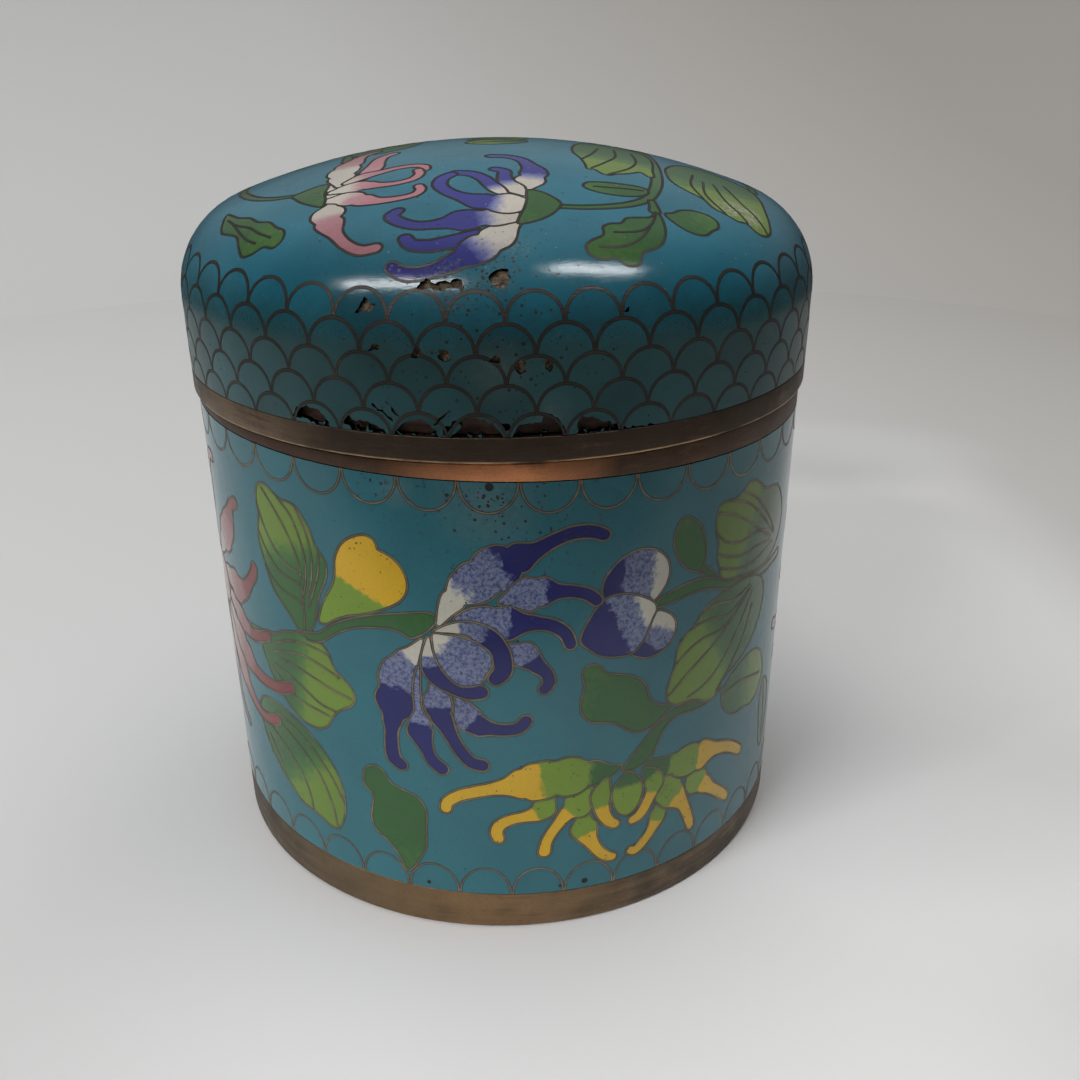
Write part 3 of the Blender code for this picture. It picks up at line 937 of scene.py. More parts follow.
right_leaves += leaf(
    [(25.1, 65), (26.8, 64.6), (28.4, 63.2), (29.5, 61), (29.9, 59), (29.7, 57.2), (28.8, 56),
     (27.6, 56.3), (26, 57.4), (24.6, 59.2), (23.9, 61.2), (24, 63.2)],
    [(28.5, 57.0, 0.2), (25.0, 64.0, 0.6)],
)
right_leaves += leaf(
    [(10.4, 44.2), (11, 45.2), (12, 45.5), (13.2, 44.8), (14, 43.8), (15.5, 43.2), (17.5, 42.6),
     (19.2, 41.5), (20.4, 39.8), (20.9, 38), (21.8, 36.8), (23.3, 36), (24.8, 35.6), (24, 34.4),
     (22.5, 33.3), (20.8, 32.6), (19, 32.6), (17.5, 33.3), (15.8, 34.8), (14, 35.5), (12, 36),
     (10.8, 37), (10.2, 38.6), (10.4, 40.5), (10.7, 42.3)],
    [(22.0, 34.0, 0.1), (12.0, 42.0, 0.6)],
)
right_leaves += leaf(
    [(51, 27.6), (53.6, 26.6), (55.4, 23.6), (56, 19.4), (55.2, 15.4), (53.4, 13.2), (51.8, 15.2),
     (51, 19.2), (50.2, 23.6)],
    [(53.0, 26.0, 0.2), (53.5, 14.0, 0.9)],
    veins=[[(52, 26.4), (53.3, 21), (53.4, 15.4)]],
)
print("the right leaves have", len(right_leaves), "cells and veins")

# %% Stems
stems = [
    stem((-31, 46.6, 0.6), (-35, 44.6, 0.7), (-40, 43, 0.8), (-46, 42, 0.9), (-53, 42, 0.9)),
    stem((35, 34.2, 0.5), (31, 33.4, 0.7), (26.5, 33.8, 0.7), (24, 33, 0.8), (22, 31, 1.2),
         (20.6, 28.8, 1.6), (18.6, 27.3, 1.3), (17.4, 26.7, 0.5)),
    stem((28.7, 56.6, 0.6), (30.5, 55.2, 0.7), (32.5, 53.2, 0.8), (34.5, 51.8, 0.7)),
    stem((20.9, 52.6, 0.35), (23, 53.2, 0.8), (26, 53.7, 1.0), (29, 53.8, 0.95), (32, 53, 0.8),
         (35, 51.8, 0.7), (40, 50.8, 0.6), (46, 50, 0.6), (53, 50, 0.7)),
]
calyx = leaf(
    [(-9.2, 53.6), (-10.5, 54.3), (-13, 54), (-17, 53.2), (-21, 52), (-25, 50), (-28, 47.8),
     (-31, 46.9), (-30.4, 45.9), (-27.6, 46.4), (-25, 48.3), (-22, 50), (-19, 50.8), (-16, 51.1),
     (-14.5, 50.8), (-13.2, 50.1), (-12, 50.5), (-10.4, 51.7)],
    [(-30.0, 47.0, 0.1), (-11.0, 52.5, 0.5)],
)
print("the front has", len(stems), "stems and a calyx")

# %% Pink flower
pink_flower = petals(
    "pink",
    [(-58, 50, 0.5, 0), (-55, 53, 2.0, 0.3), (-51.5, 56, 2.9, 1), (-49, 59, 2.0, 1.6),
     (-47.5, 61.5, 1.0, 2), (-45.5, 62.7, 0.9, 2)],
    [(-60, 41, 0.5, 0), (-60, 35.5, 2.2, 0.5), (-59, 30.5, 2.7, 1), (-57.5, 26, 1.4, 1.8),
     (-55.5, 22.5, 0.95, 2), (-53, 21, 0.9, 2)],
    [(-62, 51, 0.5, 0), (-62, 56, 2.2, 0.5), (-61, 60.5, 2.4, 1), (-59.5, 64, 1.4, 1.8),
     (-57.5, 66.5, 0.95, 2), (-55, 66.8, 0.9, 2)],
    [(-58, 41.5, 0.5, 0), (-55.5, 36.5, 2.2, 0.4), (-52.5, 32, 2.7, 1), (-49, 28.5, 1.5, 1.7),
     (-45.5, 26.8, 0.95, 2), (-42.5, 27, 0.95, 2), (-40, 28.2, 0.9, 2)],
    [(-57, 47.5, 0.5, 0), (-53, 47.8, 2.0, 0.4), (-48.8, 47.6, 2.7, 1), (-45.8, 48.6, 1.5, 1.7),
     (-43.7, 50.6, 1.0, 2), (-42, 52.6, 1.0, 2), (-41.6, 53.7, 0.9, 2)],
    [(-56, 45, 0.5, 0), (-52, 43.5, 1.9, 0.5), (-48, 41.8, 2.0, 1), (-45, 41.2, 1.1, 1.8),
     (-42.5, 41.8, 0.9, 2), (-40, 43, 0.9, 2)],
    [(-56.5, 43, 0.5, 0), (-53, 39.5, 2.2, 0.4), (-49.3, 36.6, 2.8, 1), (-45.5, 34.6, 1.5, 1.7),
     (-41.5, 34.2, 1.0, 2), (-38, 34.8, 1.0, 2), (-35.3, 36, 0.95, 2)],
)
pink_flower += leaf(
    [(-62, 50), (-58.5, 50.2), (-55.5, 48.5), (-54.4, 45.5), (-55.5, 42.5), (-58.5, 40.8),
     (-61.5, 41.5), (-63.5, 44.5), (-63.6, 48)],
    [(-62.5, 46.0, 0.0), (-56.0, 45.0, 1.4)],
    paint="pink",
)
pink_calyx = leaf(
    [(-61.5, 49.5), (-65, 49.8), (-68.5, 47.8), (-72, 45.6), (-72, 44), (-68.5, 42.8), (-65, 41.2),
     (-61.8, 41.8), (-60.8, 45)],
    [(-61.0, 45.0, 0.6), (-72.0, 45.0, 0.1)],
)
print("the pink flower has", len(pink_flower), "cells")

# %% [markdown]
# ## The lid's flowers
# The same kinds of cells, on the lid's disc: across is to the right and up is away from the front.

# %% Flowers of the lid
lid_pink_flower = leaf(
    [(-23.3, -18.4), (-23.2, -22.5), (-23.0, -26.6), (-20.9, -26.4), (-19.6, -23.5), (-19.2, -20.4),
     (-20.6, -18.0)],
    [(-22.0, -26.0, 0.0), (-22.0, -18.0, 0.0)],
    paint="pink",
)
lid_pink_flower += petals(
    "pink",
    [(-21.5, -20, 0.8, 0), (-21.6, -16.5, 2.0, 0), (-21.7, -13, 2.3, 0.2), (-21.3, -9.5, 2.2, 1),
     (-20.6, -6.5, 1.5, 1.5), (-19.8, -3.5, 1.0, 2), (-18, -1.5, 0.9, 2)],
    [(-20.5, -21, 0.6, 0), (-18.5, -18, 1.4, 1), (-17.3, -14.5, 1.5, 1.3), (-17, -11.5, 1.2, 2),
     (-16.5, -8.5, 1.0, 2), (-15, -6.5, 0.9, 2)],
    [(-20.5, -19.5, 0.8, 0.2), (-18.3, -17.8, 1.4, 1), (-16.2, -17.2, 1.0, 1.6),
     (-13.8, -16.4, 0.75, 2), (-11.5, -16.3, 0.75, 2), (-10, -17.2, 0.75, 2), (-9.8, -18.6, 0.7, 2)],
    [(-22.3, -22.3, 0.8, 0), (-20.3, -22, 1.8, 0.4), (-18.2, -22, 1.9, 1.1), (-16, -22.8, 1.0, 1.8),
     (-13.5, -23.1, 0.75, 2), (-11.3, -22.2, 0.75, 2), (-10.5, -20.3, 0.75, 2),
     (-10.8, -18.6, 0.7, 2)],
    [(-22, -26.8, 0.8, 0), (-22.2, -28.8, 2.1, 0.1), (-22.1, -31.2, 2.2, 1), (-21.4, -33.8, 1.7, 1.5),
     (-20.6, -36, 1.0, 2), (-19.2, -38.6, 0.85, 2), (-17.3, -40.3, 0.85, 2), (-15.3, -40.5, 0.85, 2)],
    [(-22.5, -25.3, 1.0, 0), (-20.5, -25.5, 1.9, 0.5), (-18.3, -27, 2.0, 1.2), (-15.8, -28.4, 1.1, 1.8),
     (-13, -28.6, 0.75, 2), (-10.8, -27.9, 0.75, 2), (-10.1, -26.5, 0.75, 2), (-10.4, -25.2, 0.7, 2)],
)
lid_pink_flower += leaf(
    [(-23.2, -18.3), (-24.5, -17.8), (-26.5, -18.5), (-28.3, -19.6), (-27.8, -21), (-26.8, -23),
     (-25.3, -25), (-23.4, -26.8), (-23, -25), (-23.4, -22)],
    [(-28.0, -20.0, 0.1), (-23.5, -22.0, 0.6)],
)
lid_blue_flower = leaf(
    [(4.2, -27.6), (4.4, -31.5), (3.6, -35.0), (1.6, -38.6), (-0.9, -38.2), (0.4, -34.4), (0.6, -30.4),
     (2.2, -27.6)],
    [(2.0, -38.0, 0.0), (2.0, -28.0, 0.0)],
    paint="blue",
)
lid_blue_flower += petals(
    "blue",
    [(3.6, -27.8, 0.8, 0), (4, -25.6, 1.9, 0), (4.7, -23, 2.0, 0.9), (4.9, -20.6, 1.7, 1.8),
     (4.2, -18, 1.1, 2), (3.2, -15.6, 0.9, 2), (1.3, -14.1, 0.85, 2), (-0.8, -13.8, 0.85, 2)],
    [(3.3, -29.3, 0.7, 0), (2.2, -27.6, 1.5, 0), (1.2, -25.4, 1.2, 1), (0.9, -23, 0.95, 2),
     (0.9, -21.2, 0.9, 2), (-0.3, -20.3, 0.85, 2)],
    [(1, -29.6, 0.6, 0), (0, -28, 1.1, 0.3), (-0.9, -26.2, 1.1, 1.5), (-1.9, -23.9, 1.0, 2),
     (-3.6, -21.9, 0.95, 2), (-5.5, -21.3, 0.95, 2)],
    [(-2.4, -40.0, 1.3, 2), (-4.4, -40.9, 1.4, 2), (-6.6, -41.4, 1.25, 2), (-8.8, -41.6, 1.1, 2),
     (-10.9, -40.9, 1.0, 2), (-11.6, -39.6, 0.9, 2)],
    [(1.9, -37.9, 0.9, 0), (0.5, -39.6, 2.1, 0), (-0.9, -41.4, 2.5, 0.3), (-2.9, -43.0, 2.3, 1.1),
     (-5.0, -44.4, 1.6, 2), (-7.5, -45.4, 1.05, 2), (-9.8, -45.7, 0.95, 2), (-11.9, -45.3, 0.95, 2),
     (-13.4, -44.1, 0.85, 2)],
    [(2.8, -36.0, 1.1, 0), (0.4, -35.9, 2.0, 0.2), (-2.3, -36.1, 2.3, 1.2), (-5, -36.5, 2.4, 2),
     (-7.6, -37, 1.2, 2), (-10.2, -36.9, 1.0, 2), (-12.5, -35.4, 1.0, 2), (-13.6, -33.5, 1.0, 2),
     (-12.8, -32.4, 0.85, 2)],
    [(3.7, -32.2, 1.8, 0), (1.6, -32.2, 2.7, 0), (-0.4, -31.9, 2.5, 1), (-2.4, -31.3, 2.1, 2),
     (-4.6, -29.9, 1.2, 2), (-6.5, -28, 1.0, 2), (-7.6, -25.6, 1.0, 2), (-7.3, -23.2, 1.0, 2),
     (-6.2, -21.8, 0.9, 2)],
)
lid_blue_flower += leaf(
    [(3.9, -28), (5.5, -28.3), (7.2, -30), (8.1, -31.7), (7.6, -33.5), (6.3, -35.5), (4.4, -37),
     (2.5, -37.6), (2.6, -36), (3.3, -33.5), (3.7, -31)],
    [(8.0, -32.0, 0.1), (3.5, -33.0, 0.6)],
)
print("the lid's flowers have", len(lid_pink_flower), "and", len(lid_blue_flower), "cells")

# %% Leaves and stems of the lid
lid_stems = [
    stem((-28, -19.6, 0.45), (-31, -18, 0.5), (-34, -15, 0.55), (-36.5, -10.5, 0.6), (-38.3, -5, 0.6),
         (-39, 1, 0.6), (-38.5, 8, 0.6)),
    stem((8, -32.6, 0.5), (11, -32.3, 0.55), (14.5, -31.2, 0.6), (17.5, -29.5, 0.65),
         (19.8, -27, 0.7), (21, -24, 0.75), (21.9, -20, 0.8), (22.4, -15, 0.8), (22.6, -9, 0.8),
         (22.5, -2, 0.8), (22, 6, 0.8)),
    stem((20.4, -27.6, 0.5), (20.5, -29.2, 0.6), (20.5, -30.6, 0.8)),
]
lid_leaves = leaf(
    [(11.2, -4), (10.9, -9), (11.8, -13), (12.2, -16), (12.4, -18.2), (13.3, -18), (14.2, -19.5),
     (15.2, -20), (16.3, -19), (17.5, -18.3), (19, -17), (20, -16), (21, -17.6), (21.8, -17.3),
     (22, -14), (22.6, -9), (22.5, -3), (21, 2), (17, 4), (13, 2)],
    [(17.0, -5.0, 0.1), (15.5, -18.0, 1.7)],
    veins=[
        [(13, -17.5), (15, -14), (17, -9), (17.5, -2)],
        [(15.2, -19.6), (18.5, -15), (20, -10), (20, -3)],
        [(12, -13), (13.6, -9), (15, -3)],
    ],
)
lid_leaves += leaf(
    [(24.5, -10), (24, -15), (24.5, -18), (26.3, -20.5), (28.3, -22.3), (29.3, -24.7), (31, -26),
     (32.6, -26.8), (34, -26.3), (35.5, -27.2), (37, -26.8), (38.2, -25), (38.4, -22),
     (38.3, -18), (38.5, -13), (38, -8), (35.5, -4), (31, -2), (27.5, -4)],
    [(31.0, -9.0, 0.1), (33.0, -24.0, 1.8)],
    veins=[
        [(28.4, -22.3), (27.3, -17), (28.5, -10)],
        [(31, -25.8), (29, -20), (29.6, -13)],
        [(34.2, -26), (31.8, -20), (31.2, -13)],
        [(37.6, -25.6), (34.6, -19.5), (33, -12)],
    ],
)
lid_leaves += leaf(
    [(11.3, -25.3), (12, -23.9), (14, -23.2), (17, -22.9), (19.5, -23), (20.3, -23.8), (20, -25.3),
     (18.5, -26.7), (16, -27.4), (13.5, -27.2), (11.9, -26.4)],
    [(19.5, -24.0, 0.2), (12.0, -25.5, 0.8)],
    veins=[[(12.8, -25.2), (19.5, -24.2)]],
)
lid_leaves += leaf(
    [(20.6, -30.8), (19.7, -32.6), (18, -33.3), (16.4, -34), (15.6, -35.5), (14.2, -36),
     (13.2, -37), (13.1, -39), (11.8, -40.2), (10.8, -41.6), (11.3, -43), (13, -43.4),
     (14.6, -42.9), (16.3, -43.5), (17.8, -42.8), (18.2, -41), (19.7, -39.8), (20.8, -38.5),
     (21.4, -36.2), (21.4, -33.8), (21.2, -32)],
    [(20.0, -32.5, 0.3), (12.5, -42.0, 0.8)],
    veins=[
        [(20.6, -31), (19.8, -34.3), (18.3, -36.6), (16.2, -37.6), (14.6, -38)],
        [(19.4, -35.4), (18, -38.4), (15.6, -40.6), (12.6, -41.4)],
    ],
)
lid_leaves += leaf(
    [(21.8, -30.8), (23, -30), (24.2, -28.6), (26, -27.8), (28, -28), (29.2, -29.3), (29.2, -31),
     (28.2, -32.3), (27.2, -33.8), (25.5, -34.4), (23.8, -33.9), (22.6, -32.6)],
    [(22.5, -31.0, 0.3), (28.0, -30.0, 0.8)],
)
lid_leaves += leaf(
    [(-38.5, -17), (-38.8, -20), (-38.5, -23), (-37, -25), (-35.6, -27), (-35.2, -29.5),
     (-34.6, -32), (-32.8, -32.8), (-31, -32.8), (-29.5, -34), (-28.2, -33.3), (-28, -31.3),
     (-29.3, -29.5), (-30.5, -27.2), (-32.3, -25.8), (-34, -23), (-35.8, -21.3), (-37.2, -19)],
    [(-38.0, -19.0, 0.3), (-29.5, -32.0, 0.8)],
    veins=[
        [(-37.8, -20), (-36, -23.5), (-33.5, -26.5), (-32, -29), (-30, -31.5)],
        [(-36.6, -22.6), (-35.2, -26.2), (-33.8, -29.2), (-32.4, -31)],
    ],
)
lid_leaves += leaf(
    [(-4.6, -3.2), (-3.6, -0.8), (-1.2, 0.9), (2, 1), (4.4, -0.6), (4, -3), (1.6, -4.8), (-1.8, -5)],
    [(4.0, -1.0, 0.3), (-4.0, -2.5, 1.4)],
    veins=[[(-3.4, -2.6), (3.6, -1.4)]],
)
print("the lid has", len(lid_leaves), "leaves and veins")

# %% [markdown]
# ## Borders and order
# Scallops hang from the mouth ring and rise from the foot ring, and five rows of scales climb the lid's
# side, each row tucked behind the one below. All have the ground's colour, so only their wires show them.
# The cells are then listed from back to front: borders, stems, leaves, buds, flowers. The back of the jar
# isn't in the picture, so it gets the same plants turned the other way, in other colours.

# %% Body cells, from back to front
SCALLOPS = 38
SCALLOP_PITCH = BODY_GIRTH / SCALLOPS
MOUTH_JOINT, MOUTH_HANG = 2.0, 4.2
FOOT_JOINT, FOOT_RISE = 0.1, 4.8
BEYOND = 1.2


def foot_line(across):
    return FOOT_SEAM + TIGHT - FOOT_FALL / 2.0 * np.sin(np.asarray(across) / BODY_RADIUS)


def mouth_line(across):
    return MOUTH_SEAM - TIGHT - MOUTH_FALL / 2.0 * np.sin(np.asarray(across) / BODY_RADIUS)


def scallop(middle, base, reach):
    """Half an ellipse on a seam. A negative reach makes it hang. Its ends run past the seam."""
    half = SCALLOP_PITCH / 2.0 - 0.12
    past = -math.copysign(BEYOND, reach)
    rows = [(middle - half * math.cos(t), base + reach * math.sin(t)) for t in np.linspace(0.0, math.pi, 9)]
    return Cell("ground", rows + [(middle + half, base + past), (middle - half, base + past)], closed=True)


body_cells = []
for index in range(SCALLOPS):
    middle = FOOT_JOINT + SCALLOP_PITCH * (index - SCALLOPS // 2 + 0.5)
    body_cells.append(scallop(middle, float(foot_line(middle)), FOOT_RISE))
    middle = MOUTH_JOINT + SCALLOP_PITCH * (index - SCALLOPS // 2 + 0.5)
    body_cells.append(scallop(middle, float(mouth_line(middle)), -MOUTH_HANG))

PINK_MIRROR, BACK_MIRROR = 20.0, 154.0
SWAPPED = {"blue": "pink", "yellow": "blue", "pink": "yellow"}


def mirrored(about):
    return lambda points: np.stack([about - points[:, 0], points[:, 1]], 1)


front = stems + left_leaves + right_leaves + yellow_bud + heart_bud + calyx + blue_flower + yellow_flower
pink_group = pink_calyx + pink_flower
long_stem = [stem((-70, 45, 0.9), (-78, 42, 0.9), (-88, 44, 0.9), (-98, 42, 0.8), (-104, 44, 0.8))]
body_cells += copies(front, mirrored(BACK_MIRROR), SWAPPED)
body_cells += long_stem + copies(long_stem, mirrored(PINK_MIRROR))
body_cells += front + pink_group + copies(pink_group, mirrored(PINK_MIRROR))
print("the body has", len(body_cells), "cells and veins")

# %% Lid cells, from back to front
SCALES = 42
SCALE_HALF = 3.5
SCALE_TOPS = [6.4, 10.0, 13.6, 17.4, 21.3]
SCALE_FIRST = [-3.0, 0.6]
SCALE_WIRE = 0.25
SCALE_TAIL, SCALE_POINT = 4.3, 0.3
DISC_RADIUS = 70.15
ENAMEL_START = LID_SEAM - LID_BOTTOM + TIGHT


def to_disc(points):
    """From (way round, way up from the lid's lower edge) to the lid's disc."""
    points = np.asarray(points, float)
    turn = points[:, 0] / LID_RADIUS
    reach = DISC_RADIUS - points[:, 1]
    return np.stack([reach * np.sin(turn), -reach * np.cos(turn)], 1)


def scale(middle, top):
    arc = [
        (middle - SCALE_HALF * math.cos(t), top - SCALE_HALF + SCALE_HALF * math.sin(t))
        for t in np.linspace(0.0, math.pi, 9)
    ]
    low = top - SCALE_HALF - SCALE_TAIL
    rows = arc + [(middle + SCALE_HALF, low), (middle, low - SCALE_POINT), (middle - SCALE_HALF, low)]
    return Cell("ground", to_disc(rows), closed=True, wire=SCALE_WIRE)


lid_cells = []
for row in reversed(range(len(SCALE_TOPS))):
    for index in range(SCALES):
        middle = SCALE_FIRST[row % 2] + LID_GIRTH / SCALES * (index - SCALES // 2)
        lid_cells.append(scale(middle, SCALE_TOPS[row]))
lid_front = lid_stems + lid_leaves + lid_pink_flower + lid_blue_flower
lid_cells += copies(lid_front, lambda points: -points, {"blue": "yellow", "pink": "blue"}) + lid_front
print("the lid has", len(lid_cells), "cells and veins")

# %% [markdown]
# ## Losses
# Enamel has broken off the lid's lower edge down to the copper, and smaller chips lie higher up. Each
# broken place is drawn as an outline whose straight sides are then made ragged. Wires often stay
# standing where the enamel between them has gone.

# %% Losses on the lid
LOST, CHIPPED, STANDING = "lost", "chipped", ""
RAGGED, RAGGED_STEP = 0.13, 0.45
CRUMBS = 60
chance = np.random.default_rng(7)


def broken(kind, corners):
    corners = np.array(corners, float)
    rows = []
    for start, end in zip(corners, np.roll(corners, -1, axis=0)):
        steps = max(1, round(float(np.hypot(*(end - start))) / RAGGED_STEP))
        for step in range(steps):
            rows.append(start + (end - start) * step / steps + chance.normal(0.0, RAGGED, 2))
    return Cell(kind, to_disc(rows), closed=True, wire=0.0)


BROKEN_PLACES = {
    LOST: [
        [(-28.4, 4), (-27.6, 5.2), (-25.6, 5.8), (-23.8, 5.4), (-22.6, 4.3), (-22.3, 3.5), (-24.2, 3.2),
         (-25.8, 3.9)],
        [(-20, 5.3), (-18.6, 4.9), (-17, 4.7), (-15.6, 4.4), (-14.7, 3.6), (-14.4, 3), (-19.2, 3),
         (-19.6, 3.9), (-20.3, 4.4)],
        [(-13.4, 3), (-13, 4.4), (-11.8, 5.3), (-10.2, 5.7), (-9, 5.2), (-8.2, 4.3), (-7.7, 3)],
        [(-5.9, 5.4), (-4.8, 6.1), (-3.2, 6.1), (-1.7, 5.6), (-0.6, 4.8), (0, 4), (0.2, 3), (-6.2, 3),
         (-7.4, 3.3), (-7.2, 4.4)],
        [(1.2, 3.1), (1.4, 4.2), (2, 5.1), (4.6, 5.1), (5, 6.1), (5.9, 6.2), (6.8, 5.6), (7.6, 4.6),
         (8.1, 3.5), (8.2, 3)],
        [(-0.3, 5.3), (0.8, 5.2), (1, 4.6), (0.4, 4.3), (-0.2, 4.8)],
        [(9.4, 3), (9.3, 4.8), (9.9, 5.8), (11, 5.5), (13.5, 4.6), (15.5, 3.8), (18, 3.6), (20.8, 3.5),
         (20.6, 3)],
    ],
    CHIPPED: [
        [(-16.3, 6.9), (-15, 6.2), (-13.6, 5.3), (-13.9, 5.8), (-15, 6.6), (-16.2, 7.3)],
        [(-14.4, 7.6), (-13.4, 6.3), (-12.8, 5.8), (-13.1, 6.6)],
        [(-8.3, 5), (-7.2, 5.9), (-6.2, 7), (-6.7, 6.6), (-7.6, 6.2)],
        [(-18, 18.2), (-17.3, 19.7), (-16.6, 20.3), (-16.2, 19.6), (-15.5, 19.2), (-16.3, 18.5)],
        [(-10.4, 21.4), (-9.9, 22.4), (-9.2, 22.7), (-8, 22.3), (-6.3, 22.7), (-5, 22.6), (-4.4, 21.9),
         (-4.6, 21.2), (-6, 21.6), (-7.5, 21.3), (-8.6, 21.5)],
        [(-1.3, 22.9), (-0.9, 23.8), (0, 24.2), (0.9, 23.8), (1.3, 22.9), (0.9, 22), (0, 21.6),
         (-0.9, 22)],
        [(-16.3, 13.9), (-15.6, 14.6), (-14.8, 14.7), (-14.6, 14.2), (-15.4, 13.8)],
        [(-11, 13.3), (-10.6, 14.1), (-9.8, 14.6), (-9.4, 14), (-9.9, 13.3)],
        [(-7.3, 13.3), (-7.2, 14.4), (-6.2, 14.4), (-6, 13.2), (-6.6, 12.9)],
        [(-1.3, 13), (-0.9, 13.6), (-0.1, 13.4), (-0.1, 12.8)],
        [(1.3, 12.2), (2, 13), (2.7, 13.2), (2.8, 11.9), (2.3, 11.3)],
        [(4.9, 12.9), (5.6, 13.3), (6.2, 12.2), (5.9, 11.6), (5.4, 12.1)],
        [(15.2, 18.1), (15.9, 18.6), (15.9, 18)],
    ],
    STANDING: [
        [(-7.3, 3.4), (-6.7, 3.1), (-5.0, 4.9), (-5.5, 5.4)],
        [(8.3, 3.0), (9.0, 3.0), (8.8, 4.9), (8.5, 4.9)],
        [(-17.6, 3.0), (-16.2, 3.0), (-17.2, 3.9)],
    ],
}
losses = [broken(kind, corners) for kind, places in BROKEN_PLACES.items() for corners in places]
for _ in range(CRUMBS):
    place = np.array([chance.uniform(-28.0, 19.0), chance.uniform(3.4, 3.9)])
    losses.append(broken(STANDING, place + chance.uniform(-0.3, 0.3, (3, 2))))
print("the lid has lost enamel in", len(losses), "places")

# %% [markdown]
# ## Cutting the enamel apart
# All outlines are thrown into one flat triangulation, which cuts every line at every crossing. Each
# triangle's middle is then looked up from front to back: inside a cell's inner outline it is that cell's
# enamel, between inner and outer it is wire, and in no cell it is ground. Operators can't cut some three
# hundred interlocking cells from each other, so these pieces are made in mesh code.


# %% Cut
def ring_edges(start, count):
    return [(start + i, start + (i + 1) % count) for i in range(count)]


def cut(cells, domain, cut_lines, spots, losses=()):
    """Returns the flat points, triangles, each triangle's cell number or -1, its paint, and its loss."""
    points, edges = [], []
    for cell in list(cells) + list(losses):
        cell.draw()
    rings = [domain] + [cell.outer for cell in cells] + [cell.outer for cell in losses]
    rings += [cell.inner for cell in cells if cell.inner is not None]
    for ring in rings:
        edges += ring_edges(len(points), len(ring))
        points += ring.tolist()
    for line in cut_lines:
        edges += [(len(points) + i, len(points) + i + 1) for i in range(len(line) - 1)]
        points += line.tolist()
    spines = [cell.line[:: 1 if cell.paint == "wire" else 2, :2] for cell in cells if not cell.closed]
    points += np.vstack([spots] + spines).tolist()
    found = delaunay_2d_cdt([Vector(point) for point in points], edges, [], 0, 1e-4, False)
    flat = np.array([tuple(vert) for vert in found[0]])
    triangles = np.array([face for face in found[2] if len(face) == 3])
    a, b, c = (flat[triangles[:, i]] for i in range(3))
    area = (b[:, 0] - a[:, 0]) * (c[:, 1] - a[:, 1]) - (b[:, 1] - a[:, 1]) * (c[:, 0] - a[:, 0])
    triangles[area < 0] = triangles[area < 0][:, ::-1]
    middles = (a + b + c) / 3.0
    kept = (np.abs(area) > 1e-7) & holds(domain, middles)
    triangles, middles = triangles[kept], middles[kept]
    owner = np.full(len(middles), -1)
    paint = np.full(len(middles), "ground", dtype=object)
    open_ones = np.ones(len(middles), bool)
    for number in reversed(range(len(cells))):
        cell = cells[number]
        near = np.flatnonzero(open_ones & (middles > cell.low).all(1) & (middles < cell.high).all(1))
        near = near[holds(cell.outer, middles[near])]
        owner[near] = number
        paint[near] = "wire"
        open_ones[near] = False
        if cell.inner is not None:
            paint[near[holds(cell.inner, middles[near])]] = cell.paint
    loss = np.full(len(middles), "", dtype=object)
    for cell in losses:
        near = np.flatnonzero((middles > cell.low).all(1) & (middles < cell.high).all(1))
        loss[near[holds(cell.outer, middles[near])]] = cell.paint
    return flat, triangles, owner, paint, loss


print("the enamel can be cut")


# %% Shades and tints of the cut triangles
def gap_to(ring, points):
    """The distance from each point to a closed ring."""
    step = np.roll(ring, -1, axis=0) - ring
    from_start = points[:, None, :] - ring[None, :, :]
    share = (from_start * step).sum(2) / np.maximum((step**2).sum(1), 1e-12)
    return np.sqrt(((from_start - share.clip(0.0, 1.0)[:, :, None] * step) ** 2).sum(2)).min(1)


def shades_of(cells, flat, triangles, owner, paint):
    """The shade at each corner, and a random tint for each cell. On a wire the shade runs across it,
    from 0 at its outer side to 1 at its inner side."""
    shades = np.zeros((len(triangles), 3))
    tints = np.full(len(triangles), 0.5)
    cell_tints = chance.random(len(cells))
    for number in np.unique(owner[owner >= 0]):
        mine = np.flatnonzero(owner == number)
        corners, back = np.unique(triangles[mine], return_inverse=True)
        shades[mine] = cells[number].shade(flat[corners])[back.reshape(-1, 3)]
        tints[mine] = cell_tints[number]
        wires = mine[paint[mine] == "wire"]
        corners, back = np.unique(triangles[wires], return_inverse=True)
        if len(corners):
            outwards = gap_to(cells[number].outer, flat[corners])
            if cells[number].inner is None:
                inwards = 2.0 * cells[number].wire - outwards
            else:
                inwards = gap_to(cells[number].inner, flat[corners])
            shades[wires] = (outwards / np.maximum(outwards + inwards, 1e-9))[back.reshape(-1, 3)]
    return shades, tints


# %% Layout, shades and normals of a block
SIDE_SLIP = 0.0017


def lay_out(mesh, top_uv, hidden, rim):
    """Gives each face its place in the texture: the top, the bottom, and a thin band for each side."""
    start = top_uv[rim]
    end = top_uv.reshape(-1, 3, 2)[rim // 3, (rim + 1) % 3]
    side_uv = np.stack([end, start, start + SIDE_SLIP, end + (SIDE_SLIP, SIDE_SLIP * 0.6)], 1)
    low_uv = hidden(top_uv).reshape(-1, 3, 2)[:, ::-1].reshape(-1, 2)
    every_uv = np.vstack([top_uv, low_uv, side_uv.reshape(-1, 2)])
    uv = mesh.uv_layers.new(name="OFBake")
    uv.data.foreach_set("uv", every_uv.astype(np.float32).ravel())


